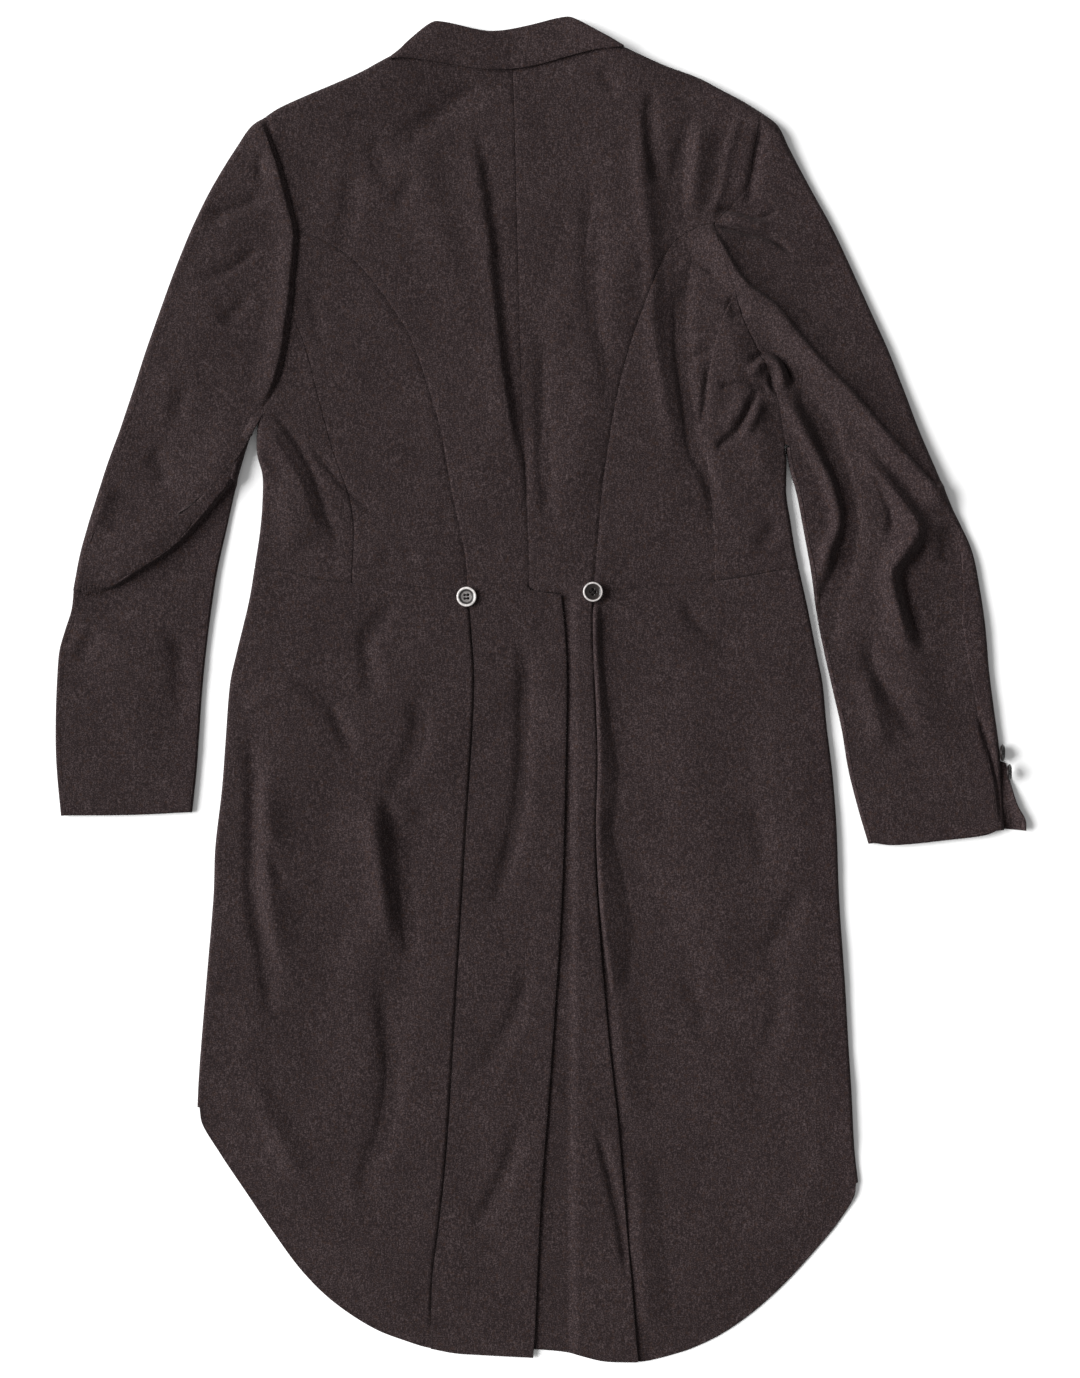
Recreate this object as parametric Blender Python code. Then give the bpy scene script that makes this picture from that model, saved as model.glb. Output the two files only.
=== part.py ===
"""A dark flannel tailcoat laid face down on a flat surface, seen from its back.

+Y is towards the collar, +X towards the wearer's right arm and +Z up.
Tables are in millimetres; each cloth piece is a wall worked out from its edges."""

import math

import bmesh
import bpy
import numpy as np

MM = 0.001

# Driving sizes, in millimetres
CLOTH = 1.8  # thickness of the wall
HALF = CLOTH / 2
SEAM_GAP = 0.3
LAP = 2.7  # rise of a piece that lies on another one
BODY_HEIGHT = 6.0  # middle of the back's wall above the floor
SKIRT_HEIGHT = 4.9
TAIL_HEIGHT = 2.2
ARC_STEPS = 4
CENTRE = (-0.7, 0.15)  # shift that puts the origin under the middle of the box

HIP_BUTTON = {"diameter": 18.0, "thickness": 3.0, "rim": 2.2, "hole": 1.7, "spread": 2.1, "sides": 20}
CUFF_BUTTON = {"diameter": 15.0, "thickness": 2.8, "rim": 1.9, "hole": 1.5, "spread": 1.8, "sides": 14}
FRONT_BUTTON = {"diameter": 20.0, "thickness": 3.2, "rim": 2.4, "hole": 1.9, "spread": 2.3, "sides": 14}

# Edges and seams, each a table of x and y in millimetres from the top down

SHOULDER_LEFT = [(-245, 507.5), (-233, 515), (-209, 526), (-184, 536.5), (-160.5, 547), (-137.5, 561.5)]
SHOULDER_RIGHT = [(196, 510.5), (179.5, 520.5), (159.5, 531), (138.5, 542), (110, 552.5), (88.5, 563), (74.5, 571.5)]
NECK_LEFT = [(-137.5, 561.5), (-100, 566), (-63, 563), (-27, 563)]
NECK_RIGHT = [(74.5, 571.5), (38, 575), (5, 568), (-27, 563)]

ARMHOLE_BACK_LEFT = [(-245, 507.5), (-242.5, 496.5), (-231, 464.5), (-222, 429.5), (-216, 406.5)]
ARMHOLE_SIDE_LEFT = [(-216, 406.5), (-218.5, 369), (-222, 333.5)]
ARMHOLE_FORE_LEFT = [(-222, 333.5), (-227.5, 297), (-236.5, 266), (-246, 251)]

ARMHOLE_BACK_RIGHT = [(196, 510.5), (193.5, 496.5), (189, 475), (183.5, 447.5), (169.5, 429.5), (152.5, 412)]
ARMHOLE_SIDE_RIGHT = [(152.5, 412), (160.5, 383.5), (171.5, 355)]
ARMHOLE_FORE_RIGHT = [(171.5, 355), (179.5, 326.5), (191.5, 301.5), (208, 262), (216, 217)]

SIDE_BODY_SEAM_LEFT = [
    (-216, 406.5), (-191, 396.5), (-173, 385), (-158, 371.5), (-122.5, 322.5), (-111, 298.5),
    (-98.5, 259.5), (-91, 235.5), (-81, 179.5), (-76, 157), (-67.5, 114.5), (-66, 86.5),
]
SIDE_BODY_SEAM_RIGHT = [
    (152.5, 412), (135, 408), (117, 396), (104, 374), (96.5, 355), (81.5, 315.5), (70, 275),
    (63.5, 245.5), (59, 216), (54.5, 186.5), (51, 149.5), (48.5, 120), (45.5, 86.5),
]
SIDE_SEAM_LEFT = [(-222, 333.5), (-210.5, 306), (-199, 263), (-187.5, 219.5), (-168, 157.5), (-168, 94)]
SIDE_SEAM_RIGHT = [(171.5, 355), (157, 319), (148, 275), (146.5, 219), (149, 186), (153.5, 127), (153.5, 95.5)]

WAIST_SIDE_LEFT = [(-66, 86.5), (-78, 87.5), (-98.5, 89.5), (-132, 92.5), (-168, 94)]
WAIST_FORE_LEFT = [(-168, 94), (-195.5, 97), (-225.5, 103.5), (-255, 107.5)]
WAIST_SIDE_RIGHT = [(45.5, 86.5), (59, 87), (124, 92.5), (153.5, 95.5)]
WAIST_FORE_RIGHT = [(153.5, 95.5), (183, 100), (212.5, 105.5), (228.5, 107)]

CENTRE_SEAM = [(-27, 563), (-25.5, 545), (-23.5, 477.5), (-19, 300), (-13, 150), (-11.5, 114), (-11.5, 91)]
VENT_EDGE = [
    (17.5, 83), (19, 69), (21.5, 42.5), (22.5, 7.5), (21.5, -67), (18, -188), (10, -313), (5.5, -376),
    (0.5, -437.5), (-3, -505), (-6, -575), (-7.5, -594.5),
]
PLEAT_LEFT = [
    (-64.6, 77), (-63.5, 70), (-62, 50), (-59.5, 7.5), (-68, -143.5), (-78, -313), (-85, -421.5),
    (-92, -485.5), (-96.5, -520), (-98.5, -586.5),
]
PLEAT_RIGHT = [
    (45, 77), (44.5, 50), (46.5, 7.5), (49, -67), (47.5, -130.5), (49.5, -188), (60, -313), (67, -376),
    (72.5, -437.5), (77.5, -495.5), (86, -598.5),
]

OUTLINE_FORE_LEFT = [(-251.8, 243), (-252.5, 230), (-252.5, 208), (-248, 190), (-248, 165.5), (-250.5, 137), (-255, 107.5)]
OUTLINE_FORE_RIGHT = [(217.8, 203), (217.5, 190), (217.5, 171.5), (221, 149.5), (224.5, 127), (228.5, 107)]
OUTLINE_SKIRT_LEFT = [
    (-255, 107.5), (-259.5, 80), (-271, 32), (-276.5, 7), (-281, -49), (-284, -88.5), (-290, -141.5),
    (-291.5, -182.5), (-297, -250), (-301.5, -303.5), (-305, -350), (-306, -372),
]
OUTLINE_SKIRT_RIGHT = [
    (228.5, 107), (236, 73.5), (244, 33.5), (249.5, 6), (253, -30.5), (258.5, -76), (262, -121),
    (264.5, -188), (270, -268), (272.5, -312.5), (275.5, -360.5), (278, -408.5), (281.5, -439),
]
HEM_SKIRT_LEFT = [
    (-306, -372), (-302, -386), (-285.5, -414), (-262, -449), (-240, -481.5), (-213, -518),
    (-185.5, -545), (-149, -569), (-122.5, -579.5), (-98.5, -586.5),
]
HEM_SKIRT_RIGHT = [
    (281.5, -439), (278, -451), (263, -475.5), (244, -498.5), (215, -530), (186.5, -555.5), (158, -575),
    (135, -586), (120.5, -591), (86, -598.5),
]
HEM_TAIL_LEFT = [(-98.5, -586.5), (-77, -590.5), (-55, -592), (-7.5, -594.5)]
HEM_TAIL_RIGHT = [(86, -598.5), (74, -598.5), (54, -597.5), (24.5, -590.5), (-5, -587.5)]

# Hidden front of the coat, on the floor
ARMHOLE_FRONT_LEFT = [
    (-245, 507.5), (-236, 470), (-214, 430), (-196, 390), (-189, 350), (-194, 310), (-212, 282), (-235, 262),
]
ARMHOLE_FRONT_RIGHT = [
    (196, 510.5), (187, 472), (170, 430), (155, 390), (150, 345), (158, 300), (176, 262), (200, 228),
]
ROLL_LEFT = [
    (-137.5, 561.5), (-120, 480), (-98, 400), (-70, 320), (-40, 240), (-20, 180), (-14, 150), (-13, 96),
]
ROLL_RIGHT = [(74.5, 571.5), (62, 480), (46, 400), (30, 320), (10, 240), (-4, 180), (-9, 150), (-9.5, 96)]
CUTAWAY_LEFT = [
    (-13, 96), (-14, 60), (-44, 10), (-100, -55), (-160, -128), (-214, -203), (-256, -275), (-284, -330),
    (-296, -362),
]
CUTAWAY_RIGHT = [
    (-9.5, 96), (-8, 58), (26, 0), (84, -85), (142, -175), (194, -262), (234, -340), (260, -398),
    (271.5, -430),
]

# Lapels: how far the folded front reaches from the roll line, by height
LAPEL_WIDTH = [(215, 6), (260, 26), (320, 46), (380, 62), (430, 74), (462, 82)]
LAPEL_NECK_Y = 530

# Sleeves: the outline on the elbow's side and on the front seam's side
SLEEVE_OUTER_LEFT = [
    (-245, 507.5), (-257.5, 499), (-271, 480.5), (-293.5, 444), (-311, 408), (-325.5, 372.5), (-338.5, 337),
    (-351, 301.5), (-362.5, 266), (-374.5, 230),
]
SLEEVE_ELBOW_LEFT = [(-374.5, 230), (-387.5, 194.5), (-395, 170), (-409, 123.5), (-416, 88)]
SLEEVE_LOWER_LEFT = [
    (-416, 88), (-418, 70), (-423.5, 52.5), (-428.5, 34.5), (-430.5, 8), (-431.5, -28), (-431, -63.5), (-427, -113),
]
SLEEVE_INNER_LEFT = [
    (-252.8, 243), (-255, 234), (-262, 212.5), (-272, 177), (-280, 141.5), (-288, 105.5), (-293.5, 70),
    (-298, 34.5), (-301.5, -1), (-304, -36.5), (-306.5, -72.5), (-310.5, -110),
]
FOLD_LEFT = [(-416, 88), (-386, 90), (-355.5, 107.5), (-325.5, 128), (-290.5, 167), (-268.5, 194)]
CUFF_LEFT = [(-427, -113), (-360.5, -112), (-310.5, -110)]

SLEEVE_OUTER_RIGHT = [
    (196, 510.5), (209.5, 500), (220, 479.5), (239, 444), (258.5, 408.5), (275.5, 372.5),
]
SLEEVE_LOWER_RIGHT = [
    (275.5, 372.5), (291.5, 337), (307.5, 301.5), (321.5, 266), (335, 230), (350, 194.5), (360, 171), (365.5, 159), (382, 123.5), (389.5, 88), (394.5, 52.5), (397.5, 16.5), (402, -19),
    (406, -44), (408, -63.5), (410.5, -94.5), (413, -125.5),
]
SLEEVE_INNER_RIGHT = [
    (218.8, 203), (221.5, 190), (225.5, 177), (232.5, 141.5), (239, 105.5), (244, 70), (250.5, 34.5),
    (258.5, -1), (266.5, -36.5), (272.5, -72.5), (281.5, -108), (290, -136),
]
CROSS_RIGHT = [(272, 371), (215, 397), (152.5, 412)]
CUFF_RIGHT = [(413, -125.5), (395.5, -129.5), (359, -134.5), (310, -139), (294, -139), (290, -136)]
UNDERLAP_INNER = [(409.5, -63), (411.5, -95), (414, -126)]
UNDERLAP_OUTER = [(412.5, -65), (416, -82.5), (422, -103), (429.5, -117), (430, -126)]

# Collar: the roll at the top outline, and the edge of the fall
COLLAR_ROLL = [
    (-134.5, 566), (-118, 577.5), (-96, 594.5), (-87.5, 594.5), (-49.5, 587), (-36, 587.5), (-10, 592),
    (14.5, 598), (24.5, 599), (31.5, 596.5), (50, 586), (62.5, 579), (69.5, 575.5),
]
COLLAR_EDGE = [
    (-131.5, 562), (-122.5, 562), (-89.5, 558), (-56.5, 553), (-36, 552), (-8.5, 555), (30, 565), (50, 569.5), (65.5, 571.5),
]

# Broad folds of the upper layer: a line, its height (below 0 for a trough) and half width
FOLDS = [
    {"name": "right back trough", "height": -2.2, "width": 15,
     "line": [(131, 500), (124, 470), (119.5, 424), (124, 315), (132, 222), (146, 160)]},
    {"name": "right back ridge", "height": 3.0, "width": 20,
     "line": [(92, 520), (90, 440), (60, 330), (40, 240), (20, 150)]},
    {"name": "right underarm ridge", "height": 3.0, "width": 14,
     "line": [(166, 330), (176, 280), (190, 235), (200, 180)]},
    {"name": "left back ridge", "height": 2.0, "width": 22,
     "line": [(-110, 490), (-90, 400), (-60, 300), (-45, 200)]},
    {"name": "left underarm ridge", "height": 2.6, "width": 14,
     "line": [(-238, 240), (-224, 205), (-210, 160), (-200, 120)]},
    {"name": "left upper sleeve", "height": 2.5, "width": 30,
     "line": [(-262, 440), (-292, 360), (-318, 290), (-335, 220)]},
    {"name": "left fold lip", "height": 5.0, "width": 26,
     "line": [(-262, 246), (-282, 200), (-306, 168), (-340, 136), (-372, 114), (-404, 98)]},
    {"name": "right sleeve ridge", "height": 6.5, "width": 17,
     "line": [(160, 400), (180, 352), (205, 322), (240, 285), (275, 245), (310, 205), (345, 168)]},
    {"name": "right outer trough", "height": -2.2, "width": 14,
     "line": [(170, 402), (196, 368), (232, 335), (268, 295), (306, 250), (344, 205)]},
    {"name": "right inner trough", "height": -2.2, "width": 13,
     "line": [(236, 245), (257, 175), (269, 105), (265, 40)]},
    {"name": "right elbow ridge", "height": 3.0, "width": 20,
     "line": [(300, 185), (318, 130), (318, 80), (330, 20), (345, -50)]},
    {"name": "left forearm", "height": 1.6, "width": 32,
     "line": [(-350, 60), (-362, 0), (-368, -80)]},
    {"name": "left skirt ridge", "height": 2.4, "width": 24,
     "line": [(-150, -60), (-152, -160), (-155, -260), (-165, -380)]},
    {"name": "left skirt trough", "height": -1.5, "width": 20,
     "line": [(-112, -60), (-122, -180), (-128, -300), (-136, -420)]},
    {"name": "left skirt side", "height": 2.0, "width": 30,
     "line": [(-215, 30), (-228, -100), (-232, -230), (-238, -330)]},
    {"name": "right skirt ridge", "height": 2.2, "width": 30,
     "line": [(120, 40), (140, -80), (150, -220), (165, -380)]},
    {"name": "right skirt side", "height": 1.8, "width": 28,
     "line": [(205, 50), (222, -80), (226, -220), (230, -360)]},
]

COLOURS = {
    "flannel": (0.041, 0.029, 0.03),
    "collar_flannel": (0.046, 0.032, 0.032),
    "horn": (0.02, 0.018, 0.017),
}


def along(points, count):
    """Cuts a smooth curve through the points into count equal lengths."""
    knots = np.asarray(points, float)
    chords = np.hypot(*np.diff(knots, axis=0).T)
    at = np.concatenate([[0.0], np.cumsum(np.sqrt(chords))])
    slopes = np.empty_like(knots)
    steps = np.diff(at)
    rates = np.diff(knots, axis=0) / steps[:, None]
    slopes[0] = rates[0]
    slopes[-1] = rates[-1]
    for i in range(1, len(knots) - 1):
        before, after = steps[i - 1], steps[i]
        slopes[i] = (rates[i - 1] * after + rates[i] * before) / (before + after)
    fine = []
    for i, step in enumerate(steps):
        for share in np.linspace(0, 1, 24, endpoint=False):
            s2, s3 = share**2, share**3
            fine.append(
                (2 * s3 - 3 * s2 + 1) * knots[i]
                + (s3 - 2 * s2 + share) * step * slopes[i]
                + (3 * s2 - 2 * s3) * knots[i + 1]
                + (s3 - s2) * step * slopes[i + 1]
            )
    fine.append(knots[-1])
    fine = np.asarray(fine)
    lengths = np.concatenate([[0.0], np.cumsum(np.hypot(*np.diff(fine, axis=0).T))])
    wanted = np.linspace(0, lengths[-1], count + 1)
    return np.column_stack([np.interp(wanted, lengths, fine[:, 0]), np.interp(wanted, lengths, fine[:, 1])])


def joined(*runs):
    """Runs of points end to end, with each shared end kept once."""
    chain = [np.asarray(runs[0], float)]
    for run in runs[1:]:
        chain.append(np.asarray(run, float)[1:])
    return np.vstack(chain)


def straight(start, end, count):
    share = np.linspace(0, 1, count + 1)[:, None]
    return (1 - share) * np.asarray(start, float) + share * np.asarray(end, float)


def between(top, bottom, left, right):
    """A grid of points inside four edges, with each edge kept exactly."""
    rows = np.linspace(0, 1, len(left))[:, None, None]
    columns = np.linspace(0, 1, len(top))[None, :, None]
    down = (1 - rows) * top[None] + rows * bottom[None]
    across = (1 - columns) * left[:, None] + columns * right[:, None]
    corners = (
        (1 - columns) * (1 - rows) * top[0]
        + columns * (1 - rows) * top[-1]
        + (1 - columns) * rows * bottom[0]
        + columns * rows * bottom[-1]
    )
    return down + across - corners


def smooth(value):
    value = np.clip(value, 0, 1)
    return value * value * (3 - 2 * value)


def far_from(points, line):
    """Distance of each point to a line of points, and where along it, from 0 to 1."""
    line = np.asarray(line, float)
    start = line[:-1]
    step = line[1:] - start
    length = np.hypot(*step.T)
    before = np.concatenate([[0.0], np.cumsum(length)[:-1]])
    offset = points[:, None, :] - start[None]
    share = np.clip((offset * step[None]).sum(2) / (length**2)[None], 0, 1)
    gap = np.hypot(*(offset - share[..., None] * step[None]).transpose(2, 0, 1))
    nearest = gap.argmin(1)
    row = np.arange(len(points))
    where = (before[nearest] + share[row, nearest] * length[nearest]) / length.sum()
    return gap[row, nearest], where


def x_at(line, y):
    """Where a table of points crosses each height."""
    table = np.asarray(sorted(line, key=lambda point: point[1]), float)
    return np.interp(y, table[:, 1], table[:, 0])


def flat(grid):
    return grid.reshape(-1, 2)


def floor_height(points):
    """Middle of the layer that lies on the floor, raised over what lies under it."""
    x, y = points.T
    width = np.interp(y, *np.asarray(LAPEL_WIDTH, float).T)
    inside = smooth((y - 165) / 20)
    left = smooth((x - x_at(ROLL_LEFT, y) + width + 40) / 18) * (x < x_at(ROLL_LEFT, y) + 5)
    right = smooth((x_at(ROLL_RIGHT, y) + width + 40 - x) / 18) * (x > x_at(ROLL_RIGHT, y) - 5)
    height = HALF + LAP * inside * np.maximum(left, right)
    for centre, thickness in UNDER_BUTTONS:
        away = np.hypot(x - centre[0], y - centre[1])
        height = np.maximum(height, HALF + (thickness + 0.5) * (1 - smooth((away - 22) / 60)))
    return height


def fold_height(points):
    height = np.zeros(len(points))
    for fold in FOLDS:
        gap, where = far_from(points, along(fold["line"], 12))
        taper = smooth(where / 0.18) * smooth((1 - where) / 0.18)
        height += fold["height"] * (0.25 + 0.75 * taper) * np.exp(-((gap / fold["width"]) ** 2)) * (gap < 90)
    return height


def body_height(points):
    """Middle of the upper layer of the body: back, side bodies, side strips and skirts."""
    x, y = points.T
    height = np.full(len(points), BODY_HEIGHT)
    shoulder = np.minimum(far_from(points, SHOULDER_LEFT)[0], far_from(points, SHOULDER_RIGHT)[0])
    height += 4.5 * np.exp(-((shoulder / 42) ** 2))
    open_neck = smooth(np.minimum(x - x_at(ROLL_LEFT, y) - 8, x_at(ROLL_RIGHT, y) - 8 - x) / 26)
    height -= 1.4 * open_neck * smooth((y - 150) / 60)
    below = smooth((95 - y) / 60)
    height -= (BODY_HEIGHT - SKIRT_HEIGHT) * below
    past_front = np.minimum(x - x_at(CUTAWAY_LEFT, y), x_at(CUTAWAY_RIGHT, y) - x)
    height -= (SKIRT_HEIGHT - TAIL_HEIGHT) * below * smooth((past_front - 10) / 40)
    height += fold_height(points) * (1 - 0.75 * (1 - smooth(np.abs(y - 90) / 34)))
    height = np.maximum(height, floor_height(points) + 2.6 * (1 - below) + 1.0 * below)
    for hem, corner in ((HEM_SKIRT_LEFT, (-306, -372)), (HEM_SKIRT_RIGHT, (281.5, -439))):
        gap, _ = far_from(points, along(hem, 16))
        at_corner = np.exp(-((np.hypot(x - corner[0], y - corner[1]) / 20) ** 2))
        lowest = HALF + 0.05 + 2.4 * at_corner
        height = lowest + (np.maximum(height, lowest) - lowest) * smooth((gap + 2) / 48)
    gap = np.minimum(far_from(points, HEM_TAIL_LEFT)[0], far_from(points, HEM_TAIL_RIGHT)[0])
    lowest = HALF + 0.05
    return lowest + (np.maximum(height, lowest) - lowest) * smooth((gap + 2) / 48)


def left_back_height(points):
    x, y = points.T
    begins = 97 + 15 * smooth((x + 60) / 35)
    return body_height(points) + LAP * smooth((begins - y) / 20)


def right_back_height(points):
    x, y = points.T
    return body_height(points) + LAP * smooth((95 - y) / 17) * smooth((x - 23) / 11)


def sleeve_height(points):
    x, y = points.T
    height = np.full(len(points), BODY_HEIGHT)
    shoulder = np.minimum(far_from(points, SHOULDER_LEFT)[0], far_from(points, SHOULDER_RIGHT)[0])
    height += 4.5 * np.exp(-((shoulder / 42) ** 2))
    height += fold_height(points)
    gap, where = far_from(points, along(FOLD_LEFT, 16))
    under = (x < -250) & (y < np.interp(x, *np.asarray(FOLD_LEFT, float).T) - 0.01)
    height -= 3.2 * under * np.exp(-((gap / 30) ** 2))
    return np.maximum(height, floor_height(points) + 2.6)


def raised(grid, height):
    """Puts a height on each point of a flat grid."""
    return np.dstack([grid, height(flat(grid)).reshape(grid.shape[:2])])


def outward_of(chain, centre):
    """Unit directions in the plane, square to a chain of points and away from the centre."""
    step = np.gradient(np.asarray(chain, float), axis=0)
    normal = np.column_stack([step[:, 1], -step[:, 0]])
    normal /= np.hypot(*normal.T)[:, None]
    side = np.sign(((chain - np.asarray(centre, float)) * normal).sum(1))
    return normal * side[:, None]


def turned_edge(outline, outward, height, floor=None):
    """A rounded edge from the upper layer down to the floor: the upper line, the arc and the lower line."""
    inner = outline - outward * 4.0
    radius = np.full(len(outline), 2.0)
    low = np.full(len(outline), HALF)
    for _ in range(4):
        inner = outline - outward * (radius + HALF)[:, None]
        if floor is not None:
            low = floor(inner)
        radius = np.maximum((height(inner) - low) / 2, 1.15)
    if floor is not None:
        low = floor(inner)
    rise = (height(inner) - low) / 2
    arc = []
    for turn in np.linspace(0, math.pi, ARC_STEPS + 1):
        flat_part = inner + outward * (radius * math.sin(turn))[:, None]
        arc.append(np.column_stack([flat_part, low + rise * (1 + math.cos(turn))]))
    return inner, np.stack(arc, axis=1)


def woven(name, grids, colour):
    """Joins grids of points at their shared edges, with every face's outside outwards."""
    number = {}
    points = []
    faces = []
    for grid in grids:
        rows, columns = grid.shape[:2]
        index = np.empty((rows, columns), int)
        for i in range(rows):
            for j in range(columns):
                key = tuple(np.round(grid[i, j], 1))
                if key not in number:
                    number[key] = len(points)
                    points.append(grid[i, j])
                index[i, j] = number[key]
        for i in range(rows - 1):
            for j in range(columns - 1):
                corners = [index[i, j], index[i + 1, j], index[i + 1, j + 1], index[i, j + 1]]
                kept = [c for k, c in enumerate(corners) if c != corners[k - 1]]
                if len(kept) > 2:
                    faces.append(kept)
    points = np.asarray(points, float)
    square = np.array([face_square(points, face) for face in faces])
    height = np.array([points[face, 2].mean() for face in faces])
    if (square[:, 2] * (height - 2.0)).sum() < 0:
        faces = [face[::-1] for face in faces]
    return {"name": name, "points": points, "faces": faces, "colour": colour}


def face_square(points, face):
    """A face's normal, as long as its area."""
    corner = points[face]
    total = np.zeros(3)
    for k in range(1, len(face) - 1):
        total += np.cross(corner[k] - corner[0], corner[k + 1] - corner[0]) / 2
    return total


def seam_key(point):
    return tuple(np.round(point * 5).astype(int))


def thicken(pieces):
    """Gives every cloth piece its wall. Pieces that meet at a seam share one direction there."""
    shared = {}
    for piece in pieces:
        for face in piece["faces"]:
            total = face_square(piece["points"], face)
            for point in face:
                key = seam_key(piece["points"][point])
                shared[key] = shared.get(key, 0) + total
    for piece in pieces:
        points = piece["points"]
        faces = piece["faces"]
        normals = np.array([shared[seam_key(point)] for point in points])
        normals /= np.linalg.norm(normals, axis=1)[:, None]
        edges = {}
        for face in faces:
            for k, start in enumerate(face):
                edges[(start, face[(k + 1) % len(face)])] = face
        rim = [edge for edge in edges if (edge[1], edge[0]) not in edges]
        moves = np.zeros_like(points)
        for start, end in rim:
            line = points[end] - points[start]
            line /= np.linalg.norm(line)
            into = points[edges[(start, end)]].mean(0) - points[start]
            into -= line * (into @ line)
            into /= np.linalg.norm(into)
            moves[start] += into
            moves[end] += into
        moves -= normals * (moves * normals).sum(1)[:, None]
        length = np.maximum(np.linalg.norm(moves, axis=1), 1e-6)
        inset = points + moves * (np.minimum(2.0 / length, 1.8) / length * SEAM_GAP / 2)[:, None]
        count = len(points)
        both = np.vstack([inset + normals * HALF, inset - normals * HALF])
        walls = [list(face) for face in faces]
        walls += [[c + count for c in reversed(face)] for face in faces]
        for start, end in rim:
            if seam_key(points[start]) < seam_key(points[end]):
                walls += [[end, start, start + count], [end, start + count, end + count]]
            else:
                walls += [[end, start, end + count], [start, start + count, end + count]]
        solid(piece["name"], both, walls, piece["colour"])


def solid(name, points, faces, colour):
    """A closed mesh object from points in millimetres."""
    mesh = bpy.data.meshes.new(name)
    shift = np.array([CENTRE[0], CENTRE[1], 0.0])
    mesh.from_pydata([tuple((p - shift) * MM) for p in np.asarray(points, float)], [], faces)
    work = bmesh.new()
    work.from_mesh(mesh)
    bmesh.ops.triangulate(work, faces=work.faces)
    if work.calc_volume(signed=True) < 0:
        bmesh.ops.reverse_faces(work, faces=work.faces)
    work.to_mesh(mesh)
    work.free()
    made = bpy.data.objects.new(name, mesh)
    bpy.context.scene.collection.objects.link(made)
    material = bpy.data.materials.new(name)
    material.use_nodes = True
    shader = material.node_tree.nodes["Principled BSDF"]
    shader.inputs["Base Color"].default_value = (*COLOURS[colour], 1)
    shader.inputs["Roughness"].default_value = 0.3 if colour == "horn" else 0.92
    mesh.materials.append(material)
    return made


def button(name, size, centre, axis=(0, 0, 1), base=0.0, turn=0.3, pierced=True):
    """A turned button with a raised rim, a dished middle and four sewing holes."""
    radius = size["diameter"] / 2
    thick = size["thickness"]
    profile = [
        (0.0, 0.0), (radius * 0.55, 0.0), (radius * 0.86, thick * 0.22), (radius, thick * 0.55),
        (radius * 0.95, thick * 0.9), (radius - size["rim"] * 0.5, thick),
        (radius - size["rim"], thick * 0.86), (radius * 0.45, thick * 0.6), (0.0, thick * 0.55),
    ]
    sides = size["sides"]
    points = [(0.0, 0.0, profile[0][1])]
    for across, height in profile[1:-1]:
        for k in range(sides):
            angle = 2 * math.pi * k / sides
            points.append((across * math.cos(angle), across * math.sin(angle), height))
    points.append((0.0, 0.0, profile[-1][1]))
    rings = len(profile) - 2
    faces = []
    for k in range(sides):
        after = (k + 1) % sides
        faces.append([0, 1 + after, 1 + k])
        for ring in range(rings - 1):
            low = 1 + ring * sides
            high = low + sides
            faces.append([low + k, low + after, high + after, high + k])
        last = 1 + (rings - 1) * sides
        faces.append([last + k, last + after, len(points) - 1])
    points = np.asarray(points)
    z_axis = np.asarray(axis, float)
    z_axis /= np.linalg.norm(z_axis)
    x_axis = np.cross((0.0, 1.0, 0.0), z_axis)
    x_axis /= np.linalg.norm(x_axis)
    y_axis = np.cross(z_axis, x_axis)
    place = np.column_stack([x_axis, y_axis, z_axis])
    origin = np.array([centre[0], centre[1], base], float)
    made = solid(name, points @ place.T + origin, faces, "horn")
    cutters = []
    for k in range(4 if pierced else 0):
        angle = turn + math.pi / 4 + k * math.pi / 2
        middle = np.array([size["spread"] * math.cos(angle), size["spread"] * math.sin(angle)])
        ring = []
        for end in (-thick, 2 * thick):
            for s in range(6):
                round_angle = 2 * math.pi * s / 6
                ring.append((
                    middle[0] + size["hole"] / 2 * math.cos(round_angle),
                    middle[1] + size["hole"] / 2 * math.sin(round_angle),
                    end,
                ))
        sides_of = [[s, (s + 1) % 6, 6 + (s + 1) % 6, 6 + s] for s in range(6)]
        caps = [list(range(5, -1, -1)), list(range(6, 12))]
        cutter = solid(name + "_hole_" + str(k), np.asarray(ring) @ place.T + origin, sides_of + caps, "horn")
        cutter.hide_render = True
        cutter.hide_viewport = True
        cutters.append(cutter)
    for cutter in cutters:
        cut = made.modifiers.new("hole", "BOOLEAN")
        cut.operation = "DIFFERENCE"
        cut.solver = "EXACT"
        cut.object = cutter
    return made


# Buttons hidden under the coat, each with a centre and a thickness
FRONT_BUTTON_AT = (12.0, 116.0)
LEFT_CUFF_BUTTONS_AT = [(-404.0, -48.0), (-403.0, -66.0)]
UNDER_BUTTONS = [(FRONT_BUTTON_AT, FRONT_BUTTON["thickness"])]
UNDER_BUTTONS += [(at, CUFF_BUTTON["thickness"]) for at in LEFT_CUFF_BUTTONS_AT]

HIP_BUTTONS_AT = {"left": (-66.4, 81.5), "right": (45.4, 85.8)}
RIGHT_CUFF_BUTTONS_AT = [(406.9, -56.7, 7.5), (411.8, -74.2, 9.4)]
CUFF_BUTTON_LEAN = 12.0  # degrees that a cuff button's face leans up from upright


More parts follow.
